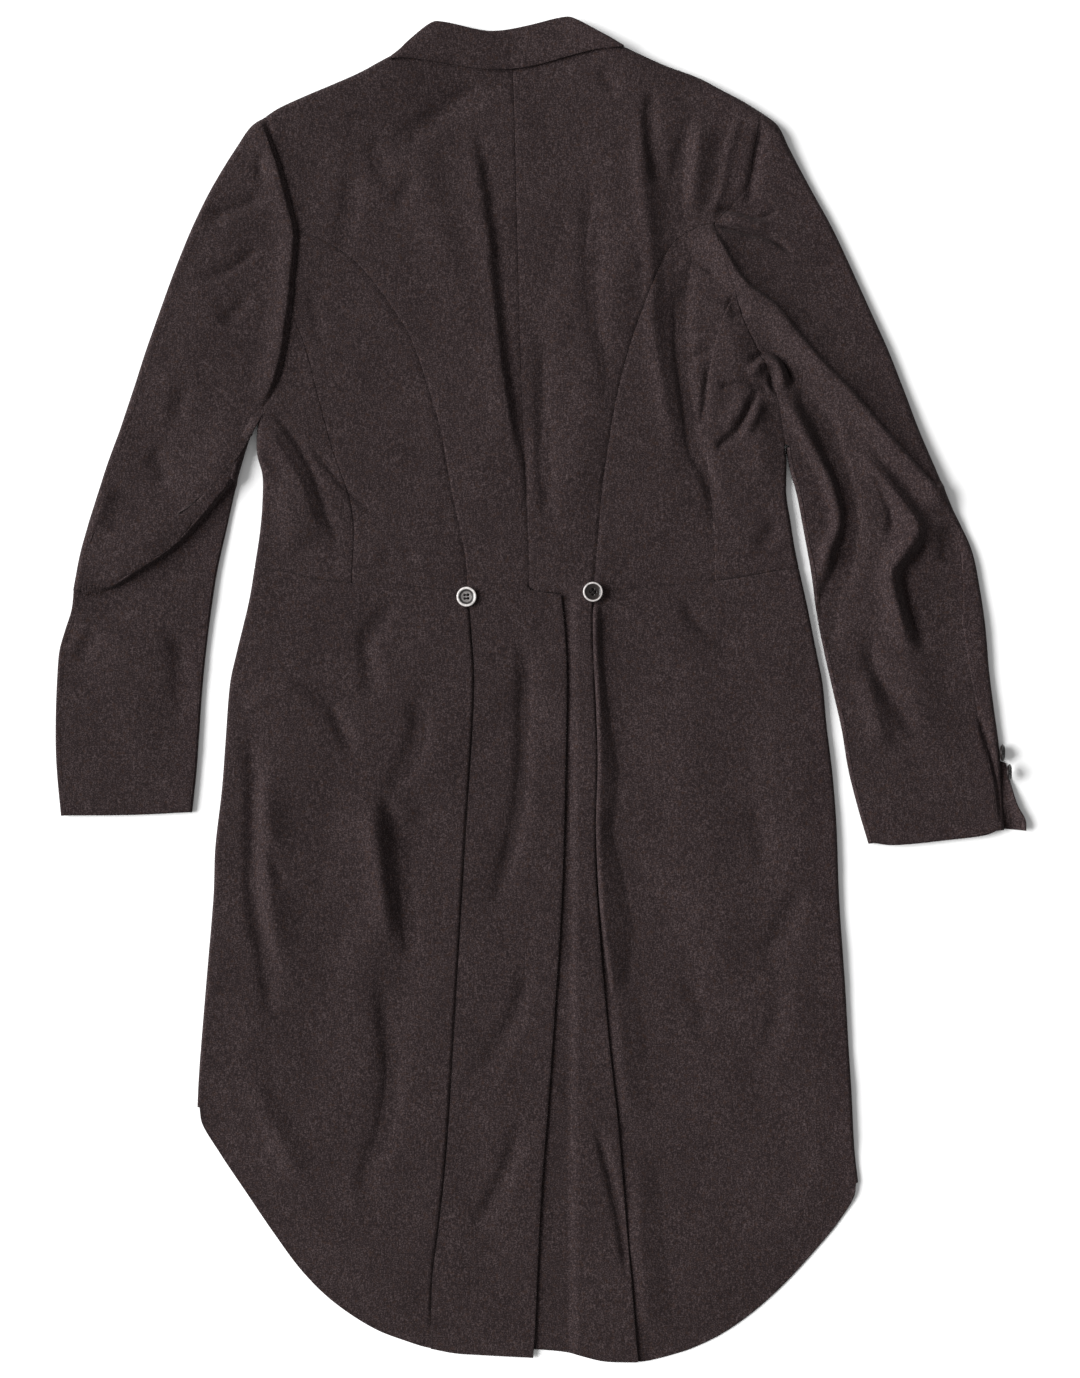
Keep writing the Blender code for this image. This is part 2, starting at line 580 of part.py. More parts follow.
def build_side(side):
    """Back, side body, forepart, skirt, lapel and sleeve of one side."""
    left = side == "left"
    word = "_" + side

    def pick(one, other):
        return one if left else other

    armhole_back = along(pick(ARMHOLE_BACK_LEFT, ARMHOLE_BACK_RIGHT), 6)
    armhole_side = along(pick(ARMHOLE_SIDE_LEFT, ARMHOLE_SIDE_RIGHT), 4)
    armhole_fore = along(pick(ARMHOLE_FORE_LEFT, ARMHOLE_FORE_RIGHT), 3)
    side_body_seam = along(pick(SIDE_BODY_SEAM_LEFT, SIDE_BODY_SEAM_RIGHT), 11)
    side_seam = along(pick(SIDE_SEAM_LEFT, SIDE_SEAM_RIGHT), 11)
    waist_side = along(pick(WAIST_SIDE_LEFT, WAIST_SIDE_RIGHT), 4)
    waist_fore = along(pick(WAIST_FORE_LEFT, WAIST_FORE_RIGHT), 4)
    shoulder = along(pick(SHOULDER_LEFT, SHOULDER_RIGHT), 6)
    centre_seam = along(CENTRE_SEAM, 17)

    # Outer lines of the whole side, so that pieces which meet there turn the same way
    body_line = joined(
        along(pick(OUTLINE_FORE_LEFT, OUTLINE_FORE_RIGHT), 11),
        along(pick(OUTLINE_SKIRT_LEFT, OUTLINE_SKIRT_RIGHT), 14),
    )
    body_out = outward_of(body_line, (-17.0, 100.0))
    body_inner, body_arc = turned_edge(body_line, body_out, body_height, floor_height)
    if left:
        arm_line = joined(
            along(SLEEVE_OUTER_LEFT, 13), along(SLEEVE_ELBOW_LEFT, 3), along(SLEEVE_LOWER_LEFT, 11)
        )
    else:
        arm_line = joined(along(SLEEVE_OUTER_RIGHT, 6), along(SLEEVE_LOWER_RIGHT, 21))
    top_line = joined(shoulder[::-1], arm_line)
    top_out = outward_of(top_line, pick((-200, 150), (160, 150)))
    shoulder_out = top_out[: len(shoulder)][::-1]
    arm_out = top_out[len(shoulder) - 1 :]
    shoulder_inner, shoulder_arc = turned_edge(shoulder, shoulder_out, sleeve_height, floor_height)

    # The back, cut in one with its tail
    armhole_back = armhole_back + (shoulder_inner[0] - armhole_back[0]) * np.linspace(1, 0, 7)[:, None] ** 2
    neck = np.asarray(pick(NECK_LEFT, NECK_RIGHT), float)
    neck[0] = shoulder_inner[-1]
    top = joined(shoulder_inner, neck)
    if left:
        tail_outer = joined([side_body_seam[-1], (-65.6, 82)], along([(-65.6, 82)] + PLEAT_LEFT, 15))
        tail_inner = joined([centre_seam[-1], (-10.0, 86.5), (17.5, 83)], along(VENT_EDGE, 14))
        hem = along(HEM_TAIL_LEFT, 9)
    else:
        tail_outer = joined([side_body_seam[-1], (45.2, 82)], along([(45.2, 82)] + PLEAT_RIGHT, 15))
        hidden_edge = [(x - 44.0, y) for x, y in VENT_EDGE if y < 8]
        hidden_edge[-1] = (-48.0, -586.0)
        hidden_edge = [(-11.8, 85), (-13.5, 78), (-19, 40)] + hidden_edge
        tail_inner = joined([centre_seam[-1], hidden_edge[0]], along(hidden_edge, 15))
        hem = along(HEM_TAIL_RIGHT + [(-48.0, -586.0)], 9)
    outer_side = joined(armhole_back, side_body_seam, tail_outer)
    inner_side = joined(centre_seam, tail_inner)
    back = raised(between(top, hem, outer_side, inner_side), pick(left_back_height, right_back_height))
    back[0, : len(shoulder)] = shoulder_arc[:, 0]
    yield woven("back" + word, [back, shoulder_arc.transpose(1, 0, 2)[::-1]], "flannel")

    # Side body, between the two long seams
    panel = between(armhole_side[::-1], waist_side[::-1], side_seam, side_body_seam)
    yield woven("side_body" + word, [raised(panel, body_height)], "flannel")

    # Forepart: the strip that shows beside the side seam, the fold and the hidden front
    fore_inner = body_inner[:12]
    fore_arc = body_arc[:12]
    strip_top = joined([fore_inner[0], armhole_fore[-1]], armhole_fore[::-1])
    waist_fore = waist_fore + (body_inner[11] - waist_fore[-1]) * np.linspace(0, 1, 5)[:, None] ** 2
    strip = raised(between(strip_top, waist_fore[::-1], fore_inner, side_seam), body_height)
    strip[:, 0] = fore_arc[:, 0]
    roll = along([tuple(shoulder_inner[-1])] + pick(ROLL_LEFT, ROLL_RIGHT)[1:], 23)
    front_armhole = pick(ARMHOLE_FRONT_LEFT, ARMHOLE_FRONT_RIGHT)
    front_armhole = along([tuple(shoulder_inner[0])] + front_armhole[1:], 13)
    front_side = joined(front_armhole, [front_armhole[-1], fore_inner[0]])
    level = straight(fore_inner[0], roll[12], 6)
    upper = between(shoulder_inner, level, front_side, along(roll[:13], 14))
    front_waist = straight(body_inner[11], roll[-1], 6)
    lower = between(level, front_waist, fore_inner, roll[12:])
    grids = [strip[:, ::-1], fore_arc, raised(lower, floor_height), raised(upper, floor_height)]
    yield woven("forepart" + word, grids, "flannel")

    # Skirt: the part that shows, the fold at the side and the part hidden beneath
    skirt_inner = body_inner[11:]
    skirt_arc = body_arc[11:]
    if left:
        pleat = [(-66, 86.5), (-66.9, 80), (-66, 68), (-53, 42)] + [(x + 14, y) for x, y in PLEAT_LEFT[3:]]
    else:
        pleat = [(45.5, 86.5), (45.9, 80), (45.2, 68), (37, 42)] + [(x - 9, y) for x, y in PLEAT_RIGHT[2:]]
    pleat[-1] = pick((-85, -586), (75, -595))
    pleat = along(pleat, 14)
    hem = pick(HEM_SKIRT_LEFT, HEM_SKIRT_RIGHT)
    hem = along([tuple(skirt_inner[-1])] + hem[1:] + [tuple(pleat[-1])], 8)
    waist = joined(waist_side, waist_fore)[::-1]
    shown = raised(between(waist, hem, skirt_inner, pleat), body_height)
    shown[:, 0] = skirt_arc[:, 0]
    cutaway = along(pick(CUTAWAY_LEFT, CUTAWAY_RIGHT), 14)
    lower_edge = straight(skirt_inner[-1], cutaway[-1], 6)
    hidden = between(straight(skirt_inner[0], cutaway[0], 6), lower_edge, skirt_inner, cutaway)
    yield woven("skirt" + word, [shown[:, ::-1], skirt_arc, raised(hidden, floor_height)], "flannel")

    # Lapel, folded back under the forepart
    table = pick(ROLL_LEFT, ROLL_RIGHT)
    sign = pick(-1, 1)
    rows = np.linspace(462, 218, 7)
    width = np.interp(rows, *np.asarray(LAPEL_WIDTH, float).T)
    edge = np.column_stack([x_at(table, rows) + sign * width, rows])
    fold_rows = np.linspace(LAPEL_NECK_Y, 218, 7)
    fold = np.column_stack([x_at(table, fold_rows) + sign * 0.6, fold_rows])
    lapel = between(straight(edge[0], fold[0], 3), straight(edge[-1], fold[-1], 3), edge, fold)
    yield woven("lapel" + word, [raised(lapel, lambda points: np.full(len(points), HALF))], "flannel")

    # Sleeve: the under sleeve shows, and the top sleeve turns round both edges beneath it
    wrist_inner = along(pick(SLEEVE_INNER_LEFT, SLEEVE_INNER_RIGHT), 13)
    wrist_out = outward_of(wrist_inner, pick((-360, 0), (320, 0)))
    arm_inner, arm_arc = turned_edge(arm_line, arm_out, sleeve_height, floor_height)
    arm_inner[0] = shoulder_inner[0]
    arm_arc[0] = shoulder_arc[0]
    wrist_inner, wrist_arc = turned_edge(wrist_inner, wrist_out, sleeve_height, floor_height)
    seam_in = np.interp(arm_line[:, 1], [-130, -40, 60, 130, 500], pick([3] * 5, [3, 10, 17, 6, 3]))
    arm_seam = arm_inner - arm_out * (seam_in * np.clip(np.arange(len(arm_line)) / 3, 0, 1))[:, None]
    armhole = joined(armhole_back, armhole_side, armhole_fore, [armhole_fore[-1], wrist_inner[0]])
    inner_side = joined(armhole, wrist_inner)
    cross_row = pick(len(armhole) + 1, len(armhole_back) - 1)
    cross = pick(FOLD_LEFT, CROSS_RIGHT)
    cross = along([tuple(arm_seam[cross_row])] + cross[1:-1] + [tuple(inner_side[cross_row])], 8)
    cuff = pick(CUFF_LEFT, CUFF_RIGHT)
    cuff = along([tuple(arm_seam[-1])] + cuff[1:-1] + [tuple(inner_side[-1])], 8)
    first = straight(arm_seam[0], inner_side[0], 8)
    upper = between(first, cross, arm_seam[: cross_row + 1], inner_side[: cross_row + 1])
    lower = between(cross, cuff, arm_seam[cross_row:], inner_side[cross_row:])
    yield woven("under_sleeve" + word, [raised(upper, sleeve_height), raised(lower, sleeve_height)], "flannel")

    strip = raised(np.stack([arm_seam, arm_inner], axis=1), sleeve_height)
    strip[:, 1] = arm_arc[:, 0]
    floor_inner = joined(front_armhole, [front_armhole[-1], wrist_inner[0]], wrist_inner)
    first = straight(arm_inner[0], floor_inner[0], 5)
    under = between(first, straight(arm_inner[-1], floor_inner[-1], 5), arm_inner, floor_inner)
    grids = [strip, arm_arc, raised(under, floor_height), wrist_arc[:, ::-1]]
    yield woven("top_sleeve" + word, grids, "flannel")


def build_collar():
    """The fall of the collar, rolled over the neck, with its stand beneath it."""
    roll = along(COLLAR_ROLL, 18)
    edge = along(COLLAR_EDGE, 18)
    neck = joined(
        straight((-133, 563), NECK_LEFT[1], 6), straight(NECK_LEFT[1], NECK_LEFT[2], 3),
        straight(NECK_LEFT[2], NECK_LEFT[3], 2), straight(NECK_RIGHT[3], NECK_RIGHT[2], 2),
        straight(NECK_RIGHT[2], NECK_RIGHT[1], 2), straight(NECK_RIGHT[1], (66.5, 573), 3),
    )
    outward = outward_of(roll, (-30, 400))
    radius = LAP / 2
    inner = roll - outward * (radius + HALF)
    stand_height = body_height(inner)
    arc = []
    for turn in np.linspace(0, math.pi, ARC_STEPS + 1):
        place = inner + outward * radius * math.sin(turn)
        arc.append(np.column_stack([place, stand_height + radius * (1 + math.cos(turn))]))
    arc = np.stack(arc, axis=1)
    columns = np.linspace(0, 1, 4)[None, :, None]
    fall = edge[:, None] * (1 - columns) + inner[:, None] * columns
    fall = raised(fall, lambda points: body_height(points) + LAP)
    fall[:, -1] = arc[:, 0]
    stand = inner[:, None] * (1 - columns) + neck[:, None] * columns
    stand = raised(stand, body_height)
    stand[:, 0] = arc[:, -1]
    return woven("collar", [fall, arc, stand], "collar_flannel")


def build_buttons():
    for side, at in HIP_BUTTONS_AT.items():
        ring = np.asarray(at) + [
            (reach * math.cos(turn), reach * math.sin(turn))
            for reach in (0, 5, 10, 14) for turn in np.linspace(0, 2 * math.pi, 12)
        ]
        over = left_back_height(ring) if side == "left" else right_back_height(ring)
        base = np.maximum(over, body_height(ring)).max() + HALF + SEAM_GAP
        button("hip_button_" + side, HIP_BUTTON, at, base=base)
    down = (0, 0, -1)
    thick = FRONT_BUTTON["thickness"]
    button("front_button", FRONT_BUTTON, FRONT_BUTTON_AT, axis=down, base=thick, pierced=False)
    thick = CUFF_BUTTON["thickness"]
    for number, at in enumerate(LEFT_CUFF_BUTTONS_AT, 1):
        name = "cuff_button_left_%d" % number
        button(name, CUFF_BUTTON, at, axis=down, base=thick, pierced=False)
    lean = math.radians(CUFF_BUTTON_LEAN)
    for number, (x, y, z) in enumerate(RIGHT_CUFF_BUTTONS_AT, 1):
        facing = (math.cos(lean), 0.0, math.sin(lean))
        button("cuff_button_right_%d" % number, CUFF_BUTTON, (x, y), axis=facing, base=z)


def build_cuff_underlap():
    """The part of the right cuff that spreads out below its open vent."""
    inner = along(UNDERLAP_INNER, 8)
    outer = along(UNDERLAP_OUTER, 8)
    columns = np.linspace(0, 1, 5)[None, :, None]
    grid = inner[:, None] * (1 - columns) + outer[:, None] * columns
    rise = np.linspace(0, 1, 9)[:, None] * (np.linspace(0, 1, 5)[None] ** 2) * 3.0
    return woven("cuff_underlap_right", [np.dstack([grid, HALF + rise])], "flannel")


def main():
    for thing in list(bpy.data.objects):
        bpy.data.objects.remove(thing, do_unlink=True)
    pieces = list(build_side("left")) + list(build_side("right"))
    pieces += [build_collar(), build_cuff_underlap()]
    thicken(pieces)
    build_buttons()


main()
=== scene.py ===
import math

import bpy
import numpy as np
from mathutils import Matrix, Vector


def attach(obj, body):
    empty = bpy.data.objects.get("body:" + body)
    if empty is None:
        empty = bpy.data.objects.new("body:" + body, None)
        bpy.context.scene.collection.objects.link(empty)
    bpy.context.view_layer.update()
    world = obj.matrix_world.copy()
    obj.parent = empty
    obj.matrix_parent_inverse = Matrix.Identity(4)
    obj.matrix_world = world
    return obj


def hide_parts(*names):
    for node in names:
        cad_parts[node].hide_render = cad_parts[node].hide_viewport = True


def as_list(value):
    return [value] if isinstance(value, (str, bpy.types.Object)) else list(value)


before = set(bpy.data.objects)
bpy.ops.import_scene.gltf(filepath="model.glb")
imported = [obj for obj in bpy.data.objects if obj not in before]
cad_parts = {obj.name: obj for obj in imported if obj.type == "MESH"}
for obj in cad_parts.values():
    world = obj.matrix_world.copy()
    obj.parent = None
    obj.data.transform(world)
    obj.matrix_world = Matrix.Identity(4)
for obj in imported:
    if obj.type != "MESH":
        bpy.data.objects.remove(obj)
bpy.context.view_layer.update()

# A dark flannel morning coat laid face down and seen from straight above its back.
# Tables and lengths are in millimetres, turned to metres when a mesh is made.
# +Y is towards the collar and +X towards the wearer's right arm.

mm = 0.001

coat = {
    "wall": 1.8,  # thickness of the cloth
    "lap": 2.7,  # rise of a piece that lies on another
    "bodyHeight": 7.2,  # middle of the back's wall above the floor
    "skirtHeight": 5.7,
    "tailHeight": 3.7,
    "shoulderRise": 4.5,  # more height at the shoulders, and how far that reaches
    "shoulderReach": 42,
    "neckDrop": 1.4,  # the back sinks between the open fronts
    "hemReach": 48,  # how far from the hem the upper layer begins to come down to the floor
    "middle": (-0.7, 0.15),  # the frame's origin on the axes of the tables
    "edgeRound": 0.42,  # how far the faces of a free edge stand back from it
    "creases": 1.8,  # strength of the creases in the tables below
    "pleatDrop": 2.0,  # how far the left skirt sinks beside the tail's edge
    "unevenness": 0.7,  # slight waves of the whole cloth
}
half = coat["wall"] / 2
lap = coat["lap"]


def rowsOf(keys, rows):  # a dictionary for each row; a key without a value is left out
    return [dict(zip(keys, row)) for row in rows]


# Edges and seams, from the top down

shoulderLeft = [(-245, 507.5), (-233, 515), (-209, 526), (-184, 536.5), (-160.5, 547), (-137.5, 559.5), (-117, 569)]
shoulderRight = [
    (196, 510.5), (179.5, 520.5), (159.5, 531), (138.5, 542), (110, 552.5), (88.5, 562), (74.5, 568.6), (56, 577),
]
neckLeft = [(-137.5, 561.5), (-100, 566), (-63, 563), (-27, 563)]
neckRight = [(74.5, 571.5), (38, 575), (5, 568), (-27, 563)]

armholeBackLeft = [(-245, 507.5), (-242.5, 496.5), (-231, 464.5), (-222, 429.5), (-216, 406.5)]
armholeSideLeft = [(-216, 406.5), (-218.5, 369), (-222, 333.5)]
armholeForeLeft = [(-222, 333.5), (-227.5, 297), (-236.5, 266), (-246, 251)]

armholeBackRight = [(196, 510.5), (193.5, 496.5), (189, 475), (183.5, 447.5), (169.5, 429.5), (152.5, 412)]
armholeSideRight = [(152.5, 412), (160.5, 383.5), (171.5, 355)]
armholeForeRight = [(171.5, 355), (179.5, 326.5), (191.5, 301.5), (208, 262), (216, 217)]

sideBodySeamLeft = [
    (-216, 406.5), (-191, 396.5), (-173, 385), (-158, 371.5), (-122.5, 322.5), (-111, 298.5),
    (-98.5, 259.5), (-91, 235.5), (-81, 179.5), (-76, 157), (-67.5, 114.5), (-66, 86.5),
]
sideBodySeamRight = [
    (152.5, 412), (135, 408), (117, 396), (104, 374), (96.5, 355), (81.5, 315.5), (70, 275),
    (63.5, 245.5), (59, 216), (54.5, 186.5), (51, 149.5), (48.5, 120), (45.5, 86.5),
]
sideSeamLeft = [(-222, 333.5), (-210.5, 306), (-199, 263), (-187.5, 219.5), (-168, 157.5), (-168, 94)]
sideSeamRight = [(171.5, 355), (157, 319), (148, 275), (146.5, 219), (149, 186), (153.5, 127), (153.5, 95.5)]

waistSideLeft = [(-66, 86.5), (-78, 87.5), (-98.5, 89.5), (-132, 92.5), (-168, 94)]
waistForeLeft = [(-168, 94), (-195.5, 97), (-225.5, 103.5), (-255, 107.5)]
waistSideRight = [(45.5, 86.5), (59, 87), (124, 92.5), (153.5, 95.5)]
waistForeRight = [(153.5, 95.5), (183, 100), (212.5, 105.5), (228.5, 107)]

centreSeam = [(-27, 563), (-25.5, 545), (-23.5, 477.5), (-19, 300), (-13, 150), (-11.5, 114), (-11.5, 91)]
ventEdge = [
    (17.5, 83), (19, 69), (21.5, 42.5), (22.5, 7.5), (21.5, -67), (18, -188), (10, -313), (5.5, -376),
    (0.5, -437.5), (-3, -505), (-6, -575), (-7.5, -594.5),
]
pleatLeft = [
    (-64.6, 77), (-63.5, 70), (-62, 50), (-59.5, 7.5), (-68, -143.5), (-78, -313), (-85, -421.5),
    (-92, -485.5), (-96.5, -520), (-98.5, -586.5),
]
pleatRight = [
    (45, 77), (44.5, 50), (46.5, 7.5), (49, -67), (47.5, -130.5), (49.5, -188), (60, -313), (67, -376),
    (72.5, -437.5), (77.5, -495.5), (86, -598.5),
]

outlineForeLeft = [
    (-247.4, 249), (-250.8, 243), (-252.5, 230), (-252.5, 208), (-248, 190), (-248, 165.5), (-250.5, 137),
    (-255, 107.5),
]
outlineForeRight = [(216.2, 214), (217.6, 203), (217.5, 190), (217.5, 171.5), (221, 149.5), (224.5, 127), (228.5, 107)]
outlineSkirtLeft = [
    (-255, 107.5), (-259.5, 80), (-271, 32), (-276.5, 7), (-281, -49), (-284, -88.5), (-290, -141.5),
    (-291.5, -182.5), (-297, -250), (-301.5, -303.5), (-305, -350), (-306, -372),
]
outlineSkirtRight = [
    (228.5, 107), (236, 73.5), (244, 33.5), (249.5, 6), (253, -30.5), (258.5, -76), (262, -121),
    (264.5, -188), (270, -268), (272.5, -312.5), (275.5, -360.5), (278, -408.5), (281.5, -439),
]
hemSkirtLeft = [
    (-306, -372), (-302, -386), (-285.5, -414), (-262, -449), (-240, -481.5), (-213, -518),
    (-185.5, -545), (-149, -569), (-122.5, -579.5), (-98.5, -586.5),
]
hemSkirtRight = [
    (281.5, -439), (278, -451), (263, -475.5), (244, -498.5), (215, -530), (186.5, -555.5), (158, -575),
    (135, -586), (120.5, -591), (86, -598.5),
]
hemTailLeft = [(-98.5, -586.5), (-77, -590.5), (-55, -592), (-7.5, -594.5)]
hemTailRight = [(86, -598.5), (74, -598.5), (54, -597.5), (24.5, -590.5), (-5, -587.5)]


# Hidden front of the coat, on the floor

armholeFrontLeft = [
    (-245, 507.5), (-236, 470), (-214, 430), (-196, 390), (-189, 350), (-194, 310), (-212, 282), (-235, 262),
]
armholeFrontRight = [
    (196, 510.5), (187, 472), (170, 430), (155, 390), (150, 345), (158, 300), (176, 262), (200, 228),
]
rollLeft = [
    (-137.5, 561.5), (-120, 480), (-98, 400), (-70, 320), (-40, 240), (-20, 180), (-14, 150), (-13, 96),
]
rollRight = [(74.5, 571.5), (62, 480), (46, 400), (30, 320), (10, 240), (-4, 180), (-9, 150), (-9.5, 96)]
cutawayLeft = [
    (-13, 96), (-14, 60), (-44, 10), (-100, -55), (-160, -128), (-214, -203), (-256, -275), (-284, -330),
    (-296, -362),
]
cutawayRight = [
    (-9.5, 96), (-8, 58), (26, 0), (84, -85), (142, -175), (194, -262), (234, -340), (260, -398),
    (271.5, -430),
]


# Lapels: how far the folded front reaches from the roll line, by height
lapelWidth = [(215, 6), (260, 26), (320, 46), (380, 62), (430, 74), (462, 82)]
lapelNeckY = 530

# Sleeves: the outline on the elbow's side and on the front seam's side
sleeveOuterLeft = [
    (-245, 507.5), (-257.5, 499), (-271, 480.5), (-293.5, 444), (-311, 408), (-325.5, 372.5), (-338.5, 337),
    (-351, 301.5), (-362.5, 266), (-374.5, 230),
]
sleeveElbowLeft = [(-374.5, 230), (-387.5, 194.5), (-395, 170), (-409, 123.5), (-416, 88)]
sleeveLowerLeft = [
    (-416, 88), (-418, 70), (-423.5, 52.5), (-428.5, 34.5), (-430.5, 8), (-431.5, -28), (-431, -63.5), (-427, -113),
]
sleeveInnerLeft = [
    (-251.2, 245.5), (-252.8, 243), (-255, 234), (-262, 212.5), (-272, 177), (-280, 141.5), (-288, 105.5), (-293.5, 70),
    (-298, 34.5), (-301.5, -1), (-304, -36.5), (-306.5, -72.5), (-310.5, -110),
]
foldLeft = [(-416, 88), (-386, 90), (-355.5, 107.5), (-325.5, 128), (-290.5, 167), (-268.5, 194)]
cuffLeft = [(-427, -113), (-360.5, -112), (-310.5, -110)]

sleeveOuterRight = [
    (196, 510.5), (209.5, 500), (220, 479.5), (239, 444), (258.5, 408.5), (275.5, 372.5),
]
sleeveLowerRight = [
    (275.5, 372.5), (291.5, 337), (307.5, 301.5), (321.5, 266), (335, 230), (350, 194.5), (360, 171), (365.5, 159),
    (382, 123.5), (389.5, 88), (394.5, 52.5), (397.5, 16.5), (402, -19), (405.5, -44), (407.3, -63.5), (409, -94.5),
    (411, -125.5),
]
sleeveInnerRight = [
    (216.8, 214), (218.8, 203), (221.5, 190), (225.5, 177), (232.5, 141.5), (239, 105.5), (244, 70), (250.5, 34.5),
    (258.5, -1), (266.5, -36.5), (272.5, -72.5), (281.5, -108), (290.3, -138),
]
crossRight = [(272, 371), (215, 397), (152.5, 412)]
cuffRight = [(411, -125.5), (395.5, -129.5), (359, -134.5), (310, -138.8), (290.3, -138)]
underlapInner = [(406.9, -64), (408.5, -95), (410.5, -124.5)]
underlapOuter = [(413.0, -66), (416.5, -82.5), (422, -103), (429.5, -117), (430, -126)]

# Collar: the roll at the top outline, and the edge of the fall
collarRoll = [
    (-135.6, 558.6), (-126, 566), (-118, 574), (-96, 591.2), (-87.5, 591.3), (-49.5, 583.8), (-36, 584.2), (-10, 588.8),
    (14.5, 594.8), (24.5, 595.8), (31.5, 593.2), (50, 583), (62.5, 575.8), (73, 569.4),
]
collarEdge = [
    (-135.7, 557.4), (-122.5, 558.6), (-89.5, 555), (-56.5, 550), (-36, 549), (-8.5, 552), (30, 562), (50, 566.5),
    (73.1, 568.2),
]

# Broad folds of the upper layer: a line, its height (below 0 for a trough) and half width
broadFolds = rowsOf(("name", "height", "width", "line"), [
    ("right back trough", -2.2, 15, [(131, 500), (124, 470), (119.5, 424), (124, 315), (132, 222), (146, 160)]),
    ("right back ridge", 2.2, 20, [(92, 520), (90, 440), (60, 330), (40, 240), (20, 150)]),
    ("right underarm ridge", 3.0, 14, [(166, 330), (176, 280), (190, 235), (200, 180)]),
    ("left back ridge", 2.0, 22, [(-110, 490), (-90, 400), (-60, 300), (-45, 200)]),
    ("left underarm ridge", 1.8, 14, [(-238, 240), (-224, 205), (-210, 160), (-200, 120)]),
    ("left upper sleeve", 2.5, 30, [(-262, 440), (-292, 360), (-318, 290), (-335, 220)]),
    ("left fold lip", 5.0, 26, [(-262, 246), (-282, 200), (-306, 168), (-340, 136), (-372, 114), (-404, 98)]),
    ("right sleeve ridge", 2.4, 19,
     [(158, 402), (180, 355), (207, 325), (243, 287), (278, 249), (313, 208), (347, 171)]),
    ("right outer trough", -0.6, 14, [(170, 402), (196, 368), (232, 335), (268, 295), (306, 250), (344, 205)]),
    ("right inner trough", -2.2, 13, [(236, 245), (257, 175), (269, 105), (265, 40)]),
    ("right elbow ridge", 3.0, 20, [(300, 185), (318, 130), (318, 80), (330, 20), (345, -50)]),
    ("left forearm", 3.0, 32, [(-350, 60), (-362, 0), (-368, -80)]),
    ("left skirt ridge", 2.4, 24, [(-150, -60), (-152, -160), (-155, -260), (-165, -380)]),
    ("left skirt trough", -1.5, 20, [(-112, -60), (-122, -180), (-128, -300), (-136, -420)]),
    ("left skirt side", 2.0, 30, [(-215, 30), (-228, -100), (-232, -230), (-238, -330)]),
    ("right skirt ridge", 2.2, 30, [(120, 40), (140, -80), (150, -220), (165, -380)]),
    ("right skirt side", 1.8, 28, [(205, 50), (222, -80), (226, -220), (230, -360)]),
])

armholeLeft = armholeBackLeft + armholeSideLeft[1:] + armholeForeLeft[1:]
armholeRight = armholeBackRight + armholeSideRight[1:] + armholeForeRight[1:]

